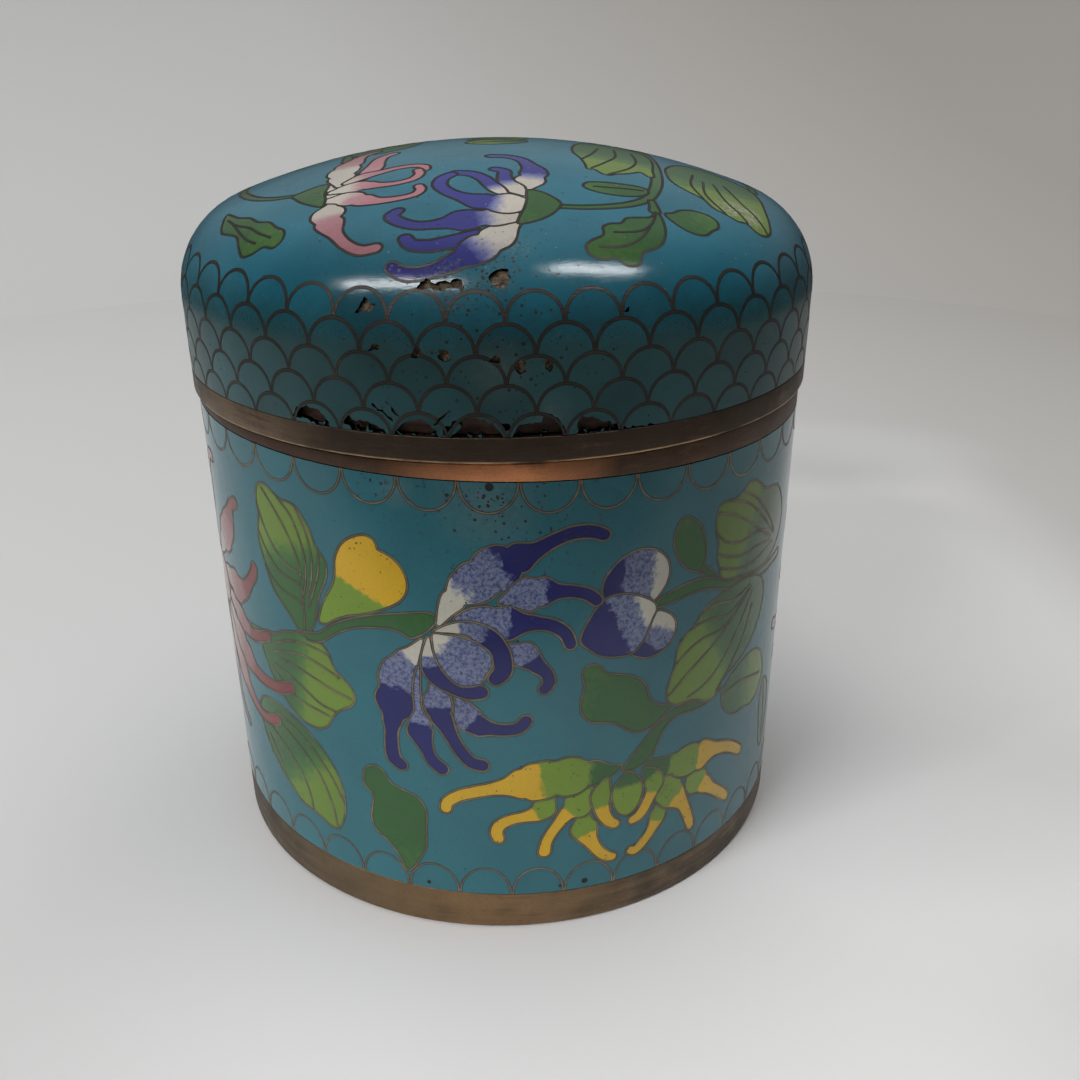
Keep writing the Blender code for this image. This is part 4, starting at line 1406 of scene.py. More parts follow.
def write_shades(mesh, shade, tint, rim):
    """Stores shade and tint at the corners of the top, the bottom and the sides."""
    side_shade = np.stack([shade[rim // 3, (rim + 1) % 3], shade[rim // 3, rim % 3]], 1)
    side_shade = np.hstack([side_shade, side_shade[:, ::-1]])
    for label, top_values, side_values in (
        ("shade", np.concatenate([shade.ravel(), shade[:, ::-1].ravel()]), side_shade.ravel()),
        ("tint", np.tile(np.repeat(tint, 3), 2), np.repeat(tint[rim // 3], 4)),
    ):
        layer = mesh.attributes.new(label, "FLOAT", "CORNER")
        layer.data.foreach_set("value", np.concatenate([top_values, side_values]).astype(np.float32))


def unit(vectors):
    return vectors / np.maximum(np.linalg.norm(vectors, axis=1), 1e-12)[:, None]


def face_normals(corners, places):
    first, second, third = (places[corners[:, side]] for side in range(3))
    return unit(np.cross(second - first, third - first))


print("blocks can be laid out")


# %% Raise flat triangles to a block
def enamel_block(name, chosen, top, surface, layout, hidden, drawing, nodes, slot):
    """A closed block over the chosen triangles: its top lies on the surface, its bottom one enamel
    thickness lower. Layout gives flat points a place in the texture, hidden does so for the bottom."""
    flat, weld, triangles, shades, tints = drawing
    corners = triangles[chosen]
    used, local = np.unique(weld[corners], return_inverse=True)
    local = local.reshape(-1, 3)
    count = len(used)
    depth = np.full(count, top) if np.isscalar(top) else top(flat[used])
    top_places, normals = surface(flat[used], depth)
    low_places = surface(flat[used], np.full(count, ENAMEL))[0]
    pairs = np.stack([local, np.roll(local, -1, axis=1)], 2).reshape(-1, 2)
    keys = pairs[:, 0] * count + pairs[:, 1]
    rim = np.flatnonzero(~np.isin(keys, pairs[:, 1] * count + pairs[:, 0]))
    a, b = pairs[rim].T
    faces = local.tolist() + (local[:, ::-1] + count).tolist()
    faces += np.stack([b, a, a + count, b + count], 1).tolist()
    mesh = bpy.data.meshes.new(name)
    mesh.from_pydata((np.vstack([top_places, low_places]) * MM).tolist(), [], faces)
    piece = bpy.data.objects.new(name, mesh)
    bpy.context.scene.collection.objects.link(piece)

    middles = np.repeat(flat[corners].mean(1), 3, axis=0)
    lay_out(mesh, layout(flat[corners.reshape(-1)], middles), hidden, rim)
    write_shades(mesh, shades[chosen], tints[chosen], rim)

    sides = unit(np.cross(low_places[a] - top_places[a], top_places[b] - top_places[a]))
    top_normals = normals[local.ravel()]
    if not np.isscalar(top):
        top_normals = np.repeat(face_normals(local, top_places), 3, axis=0)
    loops = np.vstack([top_normals, -normals[local[:, ::-1].ravel()], np.repeat(-sides, 4, axis=0)])
    mesh.polygons.foreach_set("use_smooth", np.ones(len(mesh.polygons), bool))
    mesh.normals_split_custom_set(loops.tolist())
    mesh.update()
    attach(piece, "root")
    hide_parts(*nodes)
    print(name, "has", len(faces), "faces")
    return piece


# %% [markdown]
# ## Wrapping the body's drawing round the jar
# The drawing starts and ends on a scallop joint at the back, so a cell that crosses the seam is added
# once more on the other side. The seam's points are then welded.

# %% Body surface and layout
SEAM_START = MOUTH_JOINT - SCALLOP_PITCH * (SCALLOPS // 2)
SEAM_END = SEAM_START + BODY_GIRTH
TILE_WIDTH = BODY_GIRTH / 4.0
TILE_SCALE = 0.0065
TILE_CORNER, TILE_STEP = (0.007, 0.005), (0.5, 0.48)
LAYOUT_BOTTOM = 5.2
BODY_HIDDEN_SIZE, BODY_HIDDEN_CORNER = (1.0, 0.03), (0.0, 0.965)


def body_surface(flat, depth):
    turn = flat[:, 0] / BODY_RADIUS
    normals = np.stack([np.sin(turn), -np.cos(turn), np.zeros(len(flat))], 1)
    places = normals * (BODY_RADIUS - depth)[:, None]
    places[:, 2] = flat[:, 1]
    return places, normals


def body_layout(flat, middles):
    """Four tiles, each a quarter of the way round."""
    tile = np.clip(((middles[:, 0] - SEAM_START) // TILE_WIDTH), 0, 3)
    across = (flat[:, 0] - SEAM_START - tile * TILE_WIDTH) * TILE_SCALE
    across += TILE_CORNER[0] + TILE_STEP[0] * (tile % 2)
    up = (flat[:, 1] - LAYOUT_BOTTOM) * TILE_SCALE + TILE_CORNER[1] + TILE_STEP[1] * (tile // 2)
    return np.stack([across, up], 1)


def body_hidden(uv):
    return uv * BODY_HIDDEN_SIZE + BODY_HIDDEN_CORNER


print("the body's drawing runs from %.1f to %.1f mm" % (SEAM_START, SEAM_END))

# %% Cut the body's drawing
GRID = 2.6
EDGE_POINTS, SEAM_POINTS = 190, 28
across_steps = np.arange(SEAM_START, SEAM_END - 0.1, GRID)[1:]
seam_heights = np.linspace(0.0, 1.0, SEAM_POINTS)
all_round = np.linspace(SEAM_START, SEAM_END, EDGE_POINTS)
bottom = np.stack([all_round, foot_line(all_round)], 1)
top = np.stack([all_round, mouth_line(all_round)], 1)


def upright(across):
    low, high = float(foot_line(across)), float(mouth_line(across))
    return np.stack([np.full(SEAM_POINTS, across), low + (high - low) * seam_heights], 1)


body_domain = np.vstack([bottom, upright(SEAM_END)[1:-1], top[::-1], upright(SEAM_START)[1:-1][::-1]])
tile_cuts = [upright(SEAM_START + TILE_WIDTH * step) for step in (1, 2, 3)]
body_spots = np.array([(x, y) for x in across_steps for y in np.arange(9.0, 71.5, GRID)])
wrapped = []
for cell in body_cells:
    wrapped.append(cell)
    cell.draw()
    if cell.high[0] > SEAM_END:
        wrapped.append(cell.moved(lambda points: points - (BODY_GIRTH, 0.0)))
    if cell.low[0] < SEAM_START:
        wrapped.append(cell.moved(lambda points: points + (BODY_GIRTH, 0.0)))
flat, triangles, owner, paint, _ = cut(wrapped, body_domain, tile_cuts, body_spots)
weld = np.arange(len(flat))
left_edge = np.flatnonzero(np.abs(flat[:, 0] - SEAM_START) < 1e-3)
right_edge = np.flatnonzero(np.abs(flat[:, 0] - SEAM_END) < 1e-3)
for number in right_edge:
    twin = left_edge[np.abs(flat[left_edge, 1] - flat[number, 1]).argmin()]
    if abs(flat[twin, 1] - flat[number, 1]) < 0.01:
        weld[number] = twin
shades, tints = shades_of(wrapped, flat, triangles, owner, paint)
body_drawing = (flat, weld, triangles, shades, tints)
print("the body's drawing has", len(triangles), "triangles")

# %% Body blocks
PAINTS = ["ground", "blue", "pink", "yellow", "leaf", "wire"]
WIRE_RISE = 0.02
enamel_pieces = {}
body_way = (body_surface, body_layout, body_hidden, body_drawing, ["body_enamel"])
for label in PAINTS:
    enamel_pieces["body_" + label] = enamel_block(
        "body_" + label,
        np.flatnonzero(paint == label),
        -WIRE_RISE if label == "wire" else 0.0,
        *body_way,
        "brass" if label == "wire" else "enamel",
    )

# %% [markdown]
# ## Wrapping the lid's drawing over the dome
# A point's distance from the disc's middle is its way along the dome, so it climbs the straight side,
# turns over the shoulder and runs across the crown.

# %% Lid surface and layout
SIDE_END = SHOULDER_START - LID_BOTTOM
SHOULDER_END = SIDE_END + SHOULDER_RADIUS * (math.pi / 2.0 - CROWN_SLOPE)
CROWN_DISC = 47.6
CROWN_SCALE = 0.0069
STRIP_CORNER, BACK_STRIP = (0.5, 0.012), 0.135
CROWN_MIDDLE = (0.345, 0.62)
LID_HIDDEN_SIZE, LID_HIDDEN_CORNER = (0.29, 0.66), (0.7, 0.3)


def lid_surface(flat, depth):
    reach = np.hypot(flat[:, 0], flat[:, 1])
    out = flat / np.maximum(reach, 1e-9)[:, None]
    way = DISC_RADIUS - reach
    shoulder = (way - SIDE_END).clip(0.0, SHOULDER_END - SIDE_END) / SHOULDER_RADIUS
    crown = CROWN_SLOPE - (way - SHOULDER_END).clip(0.0) / CROWN_RADIUS
    on_crown = way > SHOULDER_END
    tilt = np.where(on_crown, math.pi / 2.0 - crown, shoulder)
    radius = np.where(
        on_crown,
        CROWN_RADIUS * np.sin(crown),
        LID_RADIUS - SHOULDER_RADIUS + SHOULDER_RADIUS * np.cos(shoulder),
    )
    height = np.where(
        on_crown,
        CROWN_CENTRE + CROWN_RADIUS * np.cos(crown),
        LID_BOTTOM + np.minimum(way, SIDE_END) + SHOULDER_RADIUS * np.sin(shoulder),
    )
    normals = np.stack([out[:, 0] * np.cos(tilt), out[:, 1] * np.cos(tilt), np.sin(tilt)], 1)
    places = np.stack([out[:, 0] * radius, out[:, 1] * radius, height], 1)
    return places - normals * depth[:, None], normals


def lid_layout(flat, middles):
    """Two strips for the front and back of the side, and a disc for the crown."""
    reach = np.hypot(flat[:, 0], flat[:, 1])
    crown = np.hypot(middles[:, 0], middles[:, 1]) < CROWN_DISC
    behind = middles[:, 1] > 0.0
    facing = np.where(behind, 1.0, -1.0)
    turn = np.arctan2(flat[:, 0], facing * flat[:, 1])
    strip_across = STRIP_CORNER[0] + turn * LID_RADIUS * TILE_SCALE
    strip_up = STRIP_CORNER[1] + (DISC_RADIUS - reach - ENAMEL_START) * TILE_SCALE
    strip_up += np.where(behind, BACK_STRIP, 0.0)
    disc_across = CROWN_MIDDLE[0] + flat[:, 0] * CROWN_SCALE
    disc_up = CROWN_MIDDLE[1] + flat[:, 1] * CROWN_SCALE
    return np.stack([np.where(crown, disc_across, strip_across), np.where(crown, disc_up, strip_up)], 1)


def lid_hidden(uv):
    return uv * LID_HIDDEN_SIZE + LID_HIDDEN_CORNER


def circle(radius, count):
    turns = np.arange(count) * 2.0 * math.pi / count
    return np.stack([radius * np.sin(turns), -radius * np.cos(turns)], 1)


print("the lid's shoulder ends %.1f mm from its edge" % SHOULDER_END)

# %% Cut the lid's drawing
lid_edge = DISC_RADIUS - ENAMEL_START
lid_domain = circle(lid_edge, 288)
crown_rings = np.arange(1.3, 39.0, GRID)
rings = [circle(radius, max(6, round(2.0 * math.pi * radius / GRID))) for radius in crown_rings]
for first, last, step, count in ((40.3, 46.9, 1.6, 150), (48.8, 57.0, 1.6, 150), (59.3, 65.5, GRID, 160)):
    rings += [circle(radius, count) for radius in np.arange(first, last, step)]
lid_spots = np.vstack(rings + [np.zeros((1, 2))])
crown_cut = circle(CROWN_DISC, 150)
crown_cut = np.vstack([crown_cut, crown_cut[:1]])
side_cut = np.stack([np.linspace(CROWN_DISC, lid_edge, 9), np.zeros(9)], 1)
flat, triangles, owner, paint, loss = cut(
    lid_cells, lid_domain, [crown_cut, side_cut, -side_cut], lid_spots, losses
)
shades, tints = shades_of(lid_cells, flat, triangles, owner, paint)
lid_drawing = (flat, np.arange(len(flat)), triangles, shades, tints)
print("the lid's drawing has", len(triangles), "triangles")


# %% Lid blocks
CHIP_DEPTH, CHIP_UNEVEN = 0.42, 0.16


def chip_depth(flat):
    return CHIP_DEPTH + CHIP_UNEVEN * np.sin(flat[:, 0] * 5.1 + 1.0) * np.sin(flat[:, 1] * 6.3)


lid_way = (lid_surface, lid_layout, lid_hidden, lid_drawing, ["lid_enamel"])
for label in PAINTS:
    standing = loss == "" if label != "wire" else loss != CHIPPED
    enamel_pieces["lid_" + label] = enamel_block(
        "lid_" + label,
        np.flatnonzero((paint == label) & standing),
        -WIRE_RISE if label == "wire" else 0.0,
        *lid_way,
        "brass" if label == "wire" else "enamel",
    )
chipped = np.flatnonzero(loss == CHIPPED)
lid_chips = enamel_block("lid_chips", chipped, chip_depth, *lid_way, "enamel")

# %% [markdown]
# ## Shared effects
# Fired enamel has pinholes where gas escaped, a fine powder grain and soft clouds of colour. Rubbing has
# left faint waves and scratches on enamel and brass, and a little lint clings to a leaf on the lid. Each
# effect is a node group, built once and used by every finish that shows it. All read the object's own
# coordinates, in millimetres.


# %% Effect helper
def effect(name, inputs, outputs):
    """A node group with its input and output nodes. Inputs are name: (socket type, value)."""
    group = bpy.data.node_groups.new(name, "ShaderNodeTree")
    for label, (kind, value) in inputs.items():
        socket = group.interface.new_socket(label, in_out="INPUT", socket_type=kind)
        if value is not None:
            socket.default_value = value
    for label, kind in outputs.items():
        group.interface.new_socket(label, in_out="OUTPUT", socket_type=kind)
    return group, add(group, "NodeGroupInput").outputs, add(group, "NodeGroupOutput").inputs


NUMBER, SPOT = "NodeSocketFloat", "NodeSocketVector"
print("effects can be made")

# %% Pinholes
pinholes, source, sink = effect(
    "pinholes",
    {"Place": (SPOT, None), "Spacing": (NUMBER, 1.6), "Size": (NUMBER, 0.12)},
    {"Mask": NUMBER},
)
per_mm = calculate(pinholes, "DIVIDE", 1.0, source["Spacing"])
fields = add(pinholes, "ShaderNodeTexVoronoi", {"Vector": source["Place"], "Scale": per_mm}).outputs
luck = add(pinholes, "ShaderNodeSeparateColor", {0: fields["Color"]}).outputs[0]
radius = product(pinholes, source["Size"], calculate(pinholes, "ADD", luck, 0.35))
distance = product(pinholes, fields["Distance"], source["Spacing"])
inside = remap(pinholes, distance, radius, product(pinholes, radius, 0.85))
pinholes.links.new(inside, sink["Mask"])
print("made", pinholes.name)

# %% Clouds and grain
clouds, source, sink = effect(
    "clouds_and_grain",
    {"Place": (SPOT, None), "Cloud size": (NUMBER, 9.0), "Clouds": (NUMBER, 0.1), "Grain": (NUMBER, 0.1)},
    {"Value": NUMBER, "Fine": NUMBER},
)
wide = noise(clouds, source["Place"], calculate(clouds, "DIVIDE", 1.0, source["Cloud size"]), 3.0)
fine = noise(clouds, source["Place"], 3.2, 2.0, 0.7)
wide_part = product(clouds, calculate(clouds, "SUBTRACT", wide, 0.5), source["Clouds"])
fine_part = product(clouds, calculate(clouds, "SUBTRACT", fine, 0.5), source["Grain"])
both = calculate(clouds, "ADD", calculate(clouds, "ADD", wide_part, fine_part), 1.0)
clouds.links.new(both, sink["Value"])
clouds.links.new(fine, sink["Fine"])
print("made", clouds.name)

# %% Waves and scratches
rubbed, source, sink = effect(
    "rubbed_surface",
    {"Place": (SPOT, None), "Waves": (NUMBER, 0.02), "Scratches": (NUMBER, 0.02)},
    {"Normal": SPOT},
)
slow = noise(rubbed, source["Place"], 0.22, 2.0)
stretched = add(rubbed, "ShaderNodeMapping", {"Vector": source["Place"], "Scale": (0.5, 0.5, 7.0)})
lines = noise(rubbed, stretched.outputs[0], 1.0, 3.0, 0.7)
waves = product(rubbed, slow, source["Waves"])
scratches = product(rubbed, lines, source["Scratches"])
height = calculate(rubbed, "ADD", waves, scratches)
bump = add(rubbed, "ShaderNodeBump", {"Height": height, "Distance": MM})
rubbed.links.new(bump.outputs[0], sink["Normal"])
print("made", rubbed.name)

# %% Lint
lint, source, sink = effect("lint", {"Place": (SPOT, None)}, {"Mask": NUMBER})
fibres = []
for shift in ((0.0, 0.0, 0.0), (40.0, 9.0, 3.0), (7.0, 60.0, 21.0)):
    moved = add(lint, "ShaderNodeVectorMath", {0: source["Place"], 1: shift}).outputs[0]
    bends = noise(lint, moved, 0.55, 1.0)
    levels = calculate(lint, "PINGPONG", product(lint, bends, 4.0), 0.5)
    fibres.append(remap(lint, levels, 0.13, 0.06))
both = calculate(lint, "MAXIMUM", calculate(lint, "MAXIMUM", fibres[0], fibres[1]), fibres[2])
lint.links.new(both, sink["Mask"])
print("made", lint.name)

# %% [markdown]
# ## Enamel
# Every enamel has a palette along its shade: base, middle and tip. The blue flower changes from white to
# a lilac full of navy specks to navy, the yellow one from green to yellow. The change is a little ragged,
# because wet powders were laid next to each other. The enamel is glossy, but pits and the rubbed lower
# side of the lid are more matt, and that lower side is also painted darker, as painted shade. Pale dust
# has settled in the stained and crumbled places. Below the middle of the mouth ring the same pale colour
# is partly a stain and partly a painted reflection.


# %% Start a finish
def finish(name, roughness, metallic=0.0):
    material = bpy.data.materials.new(name)
    material.use_nodes = True
    tree = material.node_tree
    shader = tree.nodes["Principled BSDF"]
    shader.inputs["Roughness"].default_value = roughness
    shader.inputs["Metallic"].default_value = metallic
    place = add(tree, "ShaderNodeTexCoord").outputs["Object"]
    return material, tree, shader, times(tree, place, 1.0 / MM)


def use(tree, group, inputs):
    return add(tree, "ShaderNodeGroup", inputs, node_tree=group).outputs


def close_to(tree, place, spot, reach, edge=0.15):
    """A mask round one spot in millimetres."""
    gap = add(tree, "ShaderNodeVectorMath", {0: place, 1: spot}, operation="DISTANCE").outputs["Value"]
    return remap(tree, gap, reach, reach * (1.0 - edge))


def on_body(across, height):
    turn = across / BODY_RADIUS
    return (BODY_RADIUS * math.sin(turn), -BODY_RADIUS * math.cos(turn), height)


def on_lid(across, rise):
    """A spot on the lid's face, by the way round and the way up from its lower edge."""
    return tuple(lid_surface(to_disc([(across, rise)]), np.zeros(1))[0][0])


print("finishes can be started")

# %% Pits, stains, sheen and dust
BLACK_PIT = (0.006, 0.005, 0.005, 1.0)
# Pale colour of dust and stains, also used for a painted reflection below the middle of the mouth ring.
PALE_DUST_AND_SHEEN = (0.20, 0.24, 0.225, 1.0)
PALE_FIBRE = (0.42, 0.40, 0.33, 1.0)
STAINS_AND_SHEEN = [
    # partly a stain and partly a painted reflection: the pale patch below the middle of the mouth ring
    (on_body(-2.0, 70.5), 8.0),
    (on_body(-14.0, 71.5), 3.0),
    (on_lid(-0.5, 11.6), 5.0),
    (on_lid(6.0, 6.1), 3.5),
]
CRUMBLED = [(on_lid(-0.2, 22.8), 3.2), (on_lid(-6.5, 22.0), 4.4), (on_lid(2.6, 27.2), 2.8)]
POROUS = [(on_body(1.0, 68.0), 20.0), (on_lid(-1.0, 18.0), 22.0)]
CROWDED = [(on_body(-1.8, 71.0), 4.2), (on_lid(-3.0, 22.5), 6.5), (on_body(-17.0, 72.0), 3.5)]
PIT_FIELDS = [(0.9, 0.20, POROUS, 0.8), (0.62, 0.19, CROWDED, 0.7)]
DUST_FROM, DUST_FULL = 88.0, 100.0
# Height over which the lid's painted shade and its rubbed, matt side fade in.
SHADED_SIDE_FADE = 6.0
LINT = lid_surface(np.array([(33.5, -23.0)]), np.zeros(1))[0][0]
BIG_PITS = [
    (-1.8, 72.6, 0.62), (-7.2, 71.4, 0.3), (4.6, 66.1, 0.22), (-12.5, 7.9, 0.34), (1.5, 50.3, 0.2),
    (11.2, 7.6, 0.55), (7.4, 7.4, 0.3),
]
print("marked", len(BIG_PITS), "big pits and", len(STAINS_AND_SHEEN) + len(CRUMBLED), "stained places")


# %% One enamel
def enamel(
    name,
    stops,
    ragged,
    speckle=None,
    pits=0.12,
    pit_spacing=1.7,
    tint_range=0.16,
    grain=0.3,
    shaded_below=None,
    mottle=0.28,
    fluffy=False,
    mirror=0.5,
):
    """Stops are (shade from 0 to 2, colour). Speckle is (from shade, to shade, colour of the specks).
    Shaded below is (height, colour below it): below that height the colour is painted darker, as painted
    shade, and the enamel is more matt where it is rubbed. Fluffy enamel has lint on it, and mirror is how
    strongly the enamel mirrors the room."""
    material, tree, shader, place = finish(name, 0.16)
    shade = add(tree, "ShaderNodeAttribute", attribute_name="shade").outputs["Fac"]
    tint = add(tree, "ShaderNodeAttribute", attribute_name="tint").outputs["Fac"]
    climb = add(tree, "ShaderNodeSeparateXYZ", {0: place}).outputs[2]
    edge = noise(tree, place, 0.9, 4.0, 0.65)
    wobble = product(tree, calculate(tree, "SUBTRACT", edge, 0.5), ragged)
    along = calculate(tree, "MULTIPLY", calculate(tree, "ADD", shade, wobble), 0.5, clamp=True)
    colour = ramp(tree, along, [(place_on / 2.0, (*value, 1.0)) for place_on, value in stops])
    if speckle is not None:
        low, high, dark = speckle
        share = remap(tree, noise(tree, place, 1.9, 4.0, 0.8), 0.44, 0.61, 0.0, 0.85)
        rise = remap(tree, along, low / 2.0, low / 2.0 + 0.08)
        fall = remap(tree, along, high / 2.0 + 0.06, high / 2.0)
        share = product(tree, share, product(tree, rise, fall))
        colour = blend_colours(tree, share, colour, (*dark, 1.0))
    rubbed_and_shaded = 0.0
    # Painted shade: below the height the colour is painted darker, and the same mask makes the rubbed enamel
    # more matt.
    if shaded_below is not None:
        height, painted_shade_colour = shaded_below
        uneven = calculate(tree, "ADD", climb, product(tree, edge, SHADED_SIDE_FADE))
        rubbed_and_shaded = remap(tree, uneven, height + SHADED_SIDE_FADE, height)
        colour = blend_colours(tree, rubbed_and_shaded, colour, (*painted_shade_colour, 1.0))
    cloudy = use(tree, clouds, {"Place": place, "Cloud size": 9.0, "Clouds": mottle, "Grain": grain})
    spread = product(tree, calculate(tree, "SUBTRACT", tint, 0.5), tint_range)
    value = calculate(tree, "ADD", cloudy["Value"], spread)
    colour = times(tree, colour, value)
    holes = use(tree, pinholes, {"Place": place, "Spacing": pit_spacing, "Size": pits})["Mask"]
    for spacing, size, spots, fade in PIT_FIELDS:
        field = use(tree, pinholes, {"Place": place, "Spacing": spacing, "Size": size})["Mask"]
        for spot, reach in spots:
            near = product(tree, field, close_to(tree, place, spot, reach, fade))
            holes = calculate(tree, "MAXIMUM", holes, near)
    flecks = remap(tree, noise(tree, place, 2.4, 3.0, 0.7), 0.46, 0.62, 0.0, 0.6)
    haze = remap(tree, edge, 0.3, 0.7, 0.12, 0.36)
    # Stains, and the painted reflection below the mouth ring, are blended towards the pale colour.
    for spots, share in ((STAINS_AND_SHEEN, haze), (CRUMBLED, flecks)):
        for spot, reach in spots:
            stained = product(tree, share, close_to(tree, place, spot, reach, 0.8))
            colour = blend_colours(tree, stained, colour, PALE_DUST_AND_SHEEN)
    dust = use(tree, pinholes, {"Place": place, "Spacing": 1.45, "Size": 0.11})["Mask"]
    on_top = remap(tree, climb, DUST_FROM, DUST_FULL, 0.0, 0.5)
    colour = blend_colours(tree, product(tree, dust, on_top), colour, PALE_FIBRE)
    if fluffy:
        fluff = use(tree, lint, {"Place": place})["Mask"]
        fluff = product(tree, fluff, close_to(tree, place, LINT, 4.4, 0.5))
        colour = blend_colours(tree, product(tree, fluff, 0.8), colour, PALE_FIBRE)
    for across, height, reach in BIG_PITS:
        holes = calculate(tree, "MAXIMUM", holes, close_to(tree, place, on_body(across, height), reach))
    colour = blend_colours(tree, holes, colour, BLACK_PIT)
    tree.links.new(colour, shader.inputs["Base Color"])
    shader.inputs["Specular IOR Level"].default_value = mirror
    rough = calculate(tree, "MULTIPLY_ADD", cloudy["Fine"], 0.10, 0.09)
    rough = calculate(tree, "MULTIPLY_ADD", rubbed_and_shaded, 0.18, rough)
    rough = calculate(tree, "MULTIPLY_ADD", holes, 0.5, rough)
    tree.links.new(rough, shader.inputs["Roughness"])
    surface = use(tree, rubbed, {"Place": place, "Waves": 0.05, "Scratches": 0.010})
    tree.links.new(surface["Normal"], shader.inputs["Normal"])
    return material


print("enamels can be mixed")

# %% The jar's enamels
TURQUOISE = (0.022, 0.152, 0.190)
LID_TURQUOISE = (0.026, 0.175, 0.25)
LID_WHITE = (0.62, 0.575, 0.505)
WHITE, LILAC, NAVY = (0.60, 0.575, 0.49), (0.20, 0.235, 0.36), (0.008, 0.010, 0.125)
PINK, ROSE = (0.28, 0.112, 0.110), (0.21, 0.040, 0.038)
YELLOW, LIGHT_GREEN, GREEN = (0.67, 0.40, 0.011), (0.175, 0.29, 0.022), (0.029, 0.115, 0.027)
LEAF_TIP = (0.145, 0.245, 0.026)

paints = {
    "ground": enamel("turquoise_enamel", [(0.0, TURQUOISE)], 0.0),
    "blue": enamel(
        "blue_enamel",
        [(0.40, WHITE), (0.62, LILAC), (1.44, LILAC), (1.56, NAVY)],
        0.85,
        (0.5, 1.5, (0.022, 0.030, 0.17)),
    ),
    "pink": enamel("pink_enamel", [(0.2, (0.36, 0.30, 0.27)), (0.9, PINK), (1.4, PINK), (1.7, ROSE)], 0.5),
    "yellow": enamel(
        "yellow_enamel",
        [(0.35, GREEN), (0.6, LIGHT_GREEN), (1.4, LIGHT_GREEN), (1.55, YELLOW)],
        0.5,
        pit_spacing=0.85,
    ),
    "leaf": enamel(
        "leaf_enamel",
        [(0.5, GREEN), (0.85, (0.06, 0.17, 0.03)), (1.1, LEAF_TIP)],
        0.8,
        fluffy=True,
    ),
    "lid_ground": enamel(
        "lid_turquoise_enamel",
        [(0.0, LID_TURQUOISE)],
        0.0,
        tint_range=0.34,
        # painted shade: the lid's side below 93 mm is painted this darker colour
        shaded_below=(93.0, (0.026, 0.096, 0.106)),
        mottle=0.6,
        mirror=0.36,
    ),
    "lid_blue": enamel(
        "lid_blue_enamel",
        [(0.25, LID_WHITE), (0.9, (0.20, 0.22, 0.44)), (1.4, (0.030, 0.034, 0.26))],
        0.6,
    ),
    "lid_pink": enamel(
        "lid_pink_enamel",
        [(0.4, LID_WHITE), (1.0, (0.50, 0.26, 0.285)), (1.7, (0.46, 0.19, 0.225))],
        0.6,
    ),
}
print("mixed", len(paints), "enamels")

# %% [markdown]
# ## Metal
# The wires are brass that has gone brown, bright along their middle, where they were ground, and dark
# at their sides. The lid's wires are darker. The rings are brass with a dark skin, streaked by turning
# and by hands, and worn golden at the foot's left. The middle of the mouth ring is bright and coppery,
# partly from wear and partly as a painted highlight, and a thin painted highlight runs along the lid
# ring's lower edge. Where enamel is lost, dark copper shows.


# %% One old metal
# Colour of the painted highlight along the lid ring's lower edge.
EDGE_HIGHLIGHT = (0.52, 0.36, 0.21, 1.0)


def old_metal(name, bright, dark, share, roughness, patches=(), metallic=0.85, highlit_edge=None, core=None):
    """Share is how much of the bright metal shows. Patches are (spot, reach, colour). A highlit edge is a
    height where a thin highlight is painted along the metal. Core is how bright a wire is at its edges and
    its middle."""
    material, tree, shader, place = finish(name, roughness, metallic)
    stretched = add(tree, "ShaderNodeMapping", {"Vector": place, "Scale": (0.06, 0.06, 0.9)}).outputs[0]
    streaks = noise(tree, stretched, 1.0, 6.0, 0.7)
    blotches = noise(tree, place, 0.13, 5.0, 0.6)
    mixed = calculate(tree, "ADD", streaks, blotches)
    shown = remap(tree, mixed, 1.35 - share, 1.75 - share)
    colour = blend_colours(tree, shown, (*dark, 1.0), (*bright, 1.0))
    for spot, reach, patch in patches:
        near = product(tree, close_to(tree, place, spot, reach, 0.8), remap(tree, mixed, 0.62, 0.95))
        colour = blend_colours(tree, near, colour, (*patch, 1.0))
    # Painted highlight: a thin bright band at this height, where the edge catches light.
    if highlit_edge is not None:
        climb = add(tree, "ShaderNodeSeparateXYZ", {0: place}).outputs[2]
        off = calculate(tree, "ABSOLUTE", calculate(tree, "SUBTRACT", climb, highlit_edge))
        rim = product(tree, remap(tree, off, 0.32, 0.12), remap(tree, mixed, 0.85, 1.1))
        colour = blend_colours(tree, rim, colour, EDGE_HIGHLIGHT)
    cloudy = use(tree, clouds, {"Place": place, "Cloud size": 5.0, "Clouds": 0.5, "Grain": 0.5})
    value = cloudy["Value"]
    if core is not None:
        over = add(tree, "ShaderNodeAttribute", attribute_name="shade").outputs["Fac"]
        off = calculate(tree, "ABSOLUTE", calculate(tree, "SUBTRACT", over, 0.5))
        value = product(tree, value, remap(tree, off, 0.36, 0.14, *core))
    colour = times(tree, colour, value)
    tree.links.new(colour, shader.inputs["Base Color"])
    rough = calculate(tree, "MULTIPLY_ADD", shown, -0.18, roughness)
    tree.links.new(rough, shader.inputs["Roughness"])
    surface = use(tree, rubbed, {"Place": place, "Waves": 0.2, "Scratches": 0.05})
    tree.links.new(surface["Normal"], shader.inputs["Normal"])
    return material


print("metals can be made")

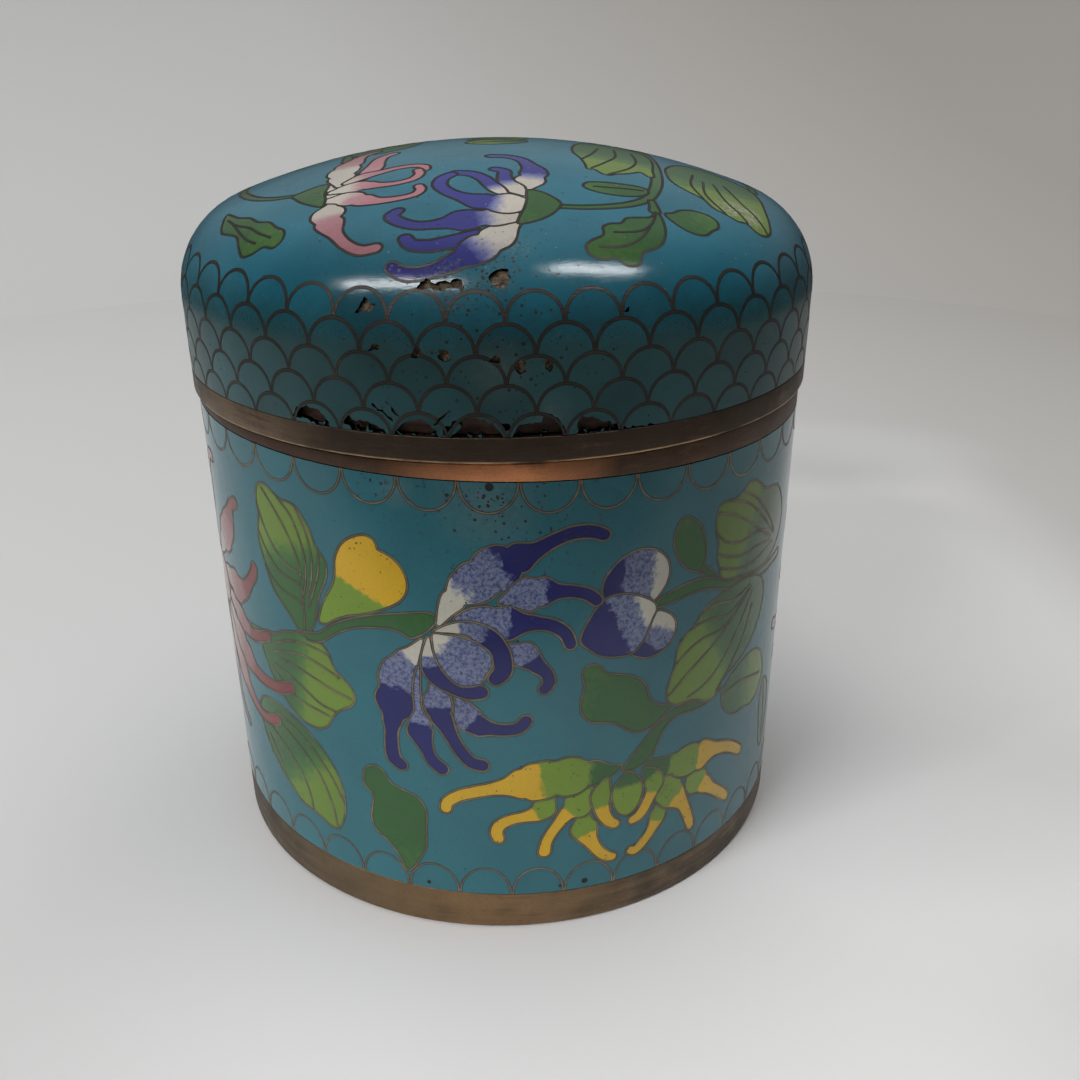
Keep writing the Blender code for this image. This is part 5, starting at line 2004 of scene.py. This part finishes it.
# %% The jar's metals
foot_brass = old_metal(
    "foot_brass",
    (0.21, 0.145, 0.085),
    (0.095, 0.070, 0.048),
    0.42,
    0.5,
    [(on_body(-24.0, 3.0), 26.0, (0.185, 0.13, 0.075)), (on_body(-3.0, 3.0), 24.0, (0.265, 0.165, 0.085))],
)
mouth_brass = old_metal(
    "mouth_brass",
    (0.18, 0.10, 0.06),
    (0.095, 0.058, 0.038),
    0.25,
    0.48,
    # partly worn brass and partly a painted highlight: the bright coppery patch in the middle of the mouth
    # ring
    [(on_body(-0.5, 74.5), 15.5, (0.68, 0.28, 0.125))],
)
lid_brass = old_metal(
    "lid_brass",
    (0.18, 0.118, 0.072),
    (0.066, 0.045, 0.031),
    0.25,
    0.5,
    [(on_body(-40.0, 77.5), 18.0, (0.24, 0.17, 0.11))],
    # painted highlight along the lid ring's lower edge
    highlit_edge=LID_BOTTOM,
)
wire_brass = old_metal(
    "wire_brass", (0.20, 0.165, 0.105), (0.088, 0.075, 0.056), 0.38, 0.42, metallic=0.4, core=(0.35, 2.0)
)
dark_wire = old_metal(
    "lid_wire_brass", (0.085, 0.070, 0.047), (0.034, 0.030, 0.023), 0.35, 0.5, metallic=0.3, core=(0.35, 1.0)
)
bare_copper = old_metal("bare_copper", (0.19, 0.10, 0.065), (0.070, 0.040, 0.031), 0.45, 0.6, metallic=0.3)
paints["wire"], paints["lid_wire"] = wire_brass, dark_wire
metals = [foot_brass, mouth_brass, lid_brass, wire_brass, dark_wire, bare_copper]
print("made", ", ".join(metal.name for metal in metals))

# %% Broken enamel and the enamel inside
chip_floor, tree, shader, place = finish("broken_enamel", 0.7)
crumb_colour = ramp(
    tree,
    noise(tree, place, 1.3, 6.0, 0.7),
    [
        (0.38, (0.045, 0.030, 0.022, 1.0)),
        (0.49, (0.20, 0.125, 0.080, 1.0)),
        (0.58, (0.42, 0.31, 0.15, 1.0)),
        (0.70, (0.10, 0.20, 0.19, 1.0)),
    ],
)
tree.links.new(crumb_colour, shader.inputs["Base Color"])
surface = use(tree, rubbed, {"Place": place, "Waves": 1.5, "Scratches": 0.3})
tree.links.new(surface["Normal"], shader.inputs["Normal"])
INSIDE_BLUE = (0.045, 0.19, 0.22)
inside_enamel = enamel("inside_enamel", [(0.0, INSIDE_BLUE)], 0.0, pits=0.2, pit_spacing=1.5, grain=0.5)
print("made", chip_floor.name, inside_enamel.name)

# %% Give each piece its finish
for label, piece in enamel_pieces.items():
    kind = label.split("_")[1]
    piece.data.materials.append(paints.get(label, paints[kind]))
lid_chips.data.materials.append(chip_floor)
foot_ring.data.materials.append(foot_brass)
mouth_ring.data.materials.append(mouth_brass)
lid_ring.data.materials.append(lid_brass)

UNDERSIDE_BELOW = 4.0
for piece in (vessel, shell):
    piece.data.materials.append(bare_copper)
    piece.data.materials.append(inside_enamel)
    for face in piece.data.polygons:
        underneath = piece is vessel and face.center.z < UNDERSIDE_BELOW * MM and face.normal.z < -0.9
        if underneath or face.normal.dot(face.center - JAR_MIDDLE) < 0.0:
            face.material_index = 1
print("every piece has its finish")
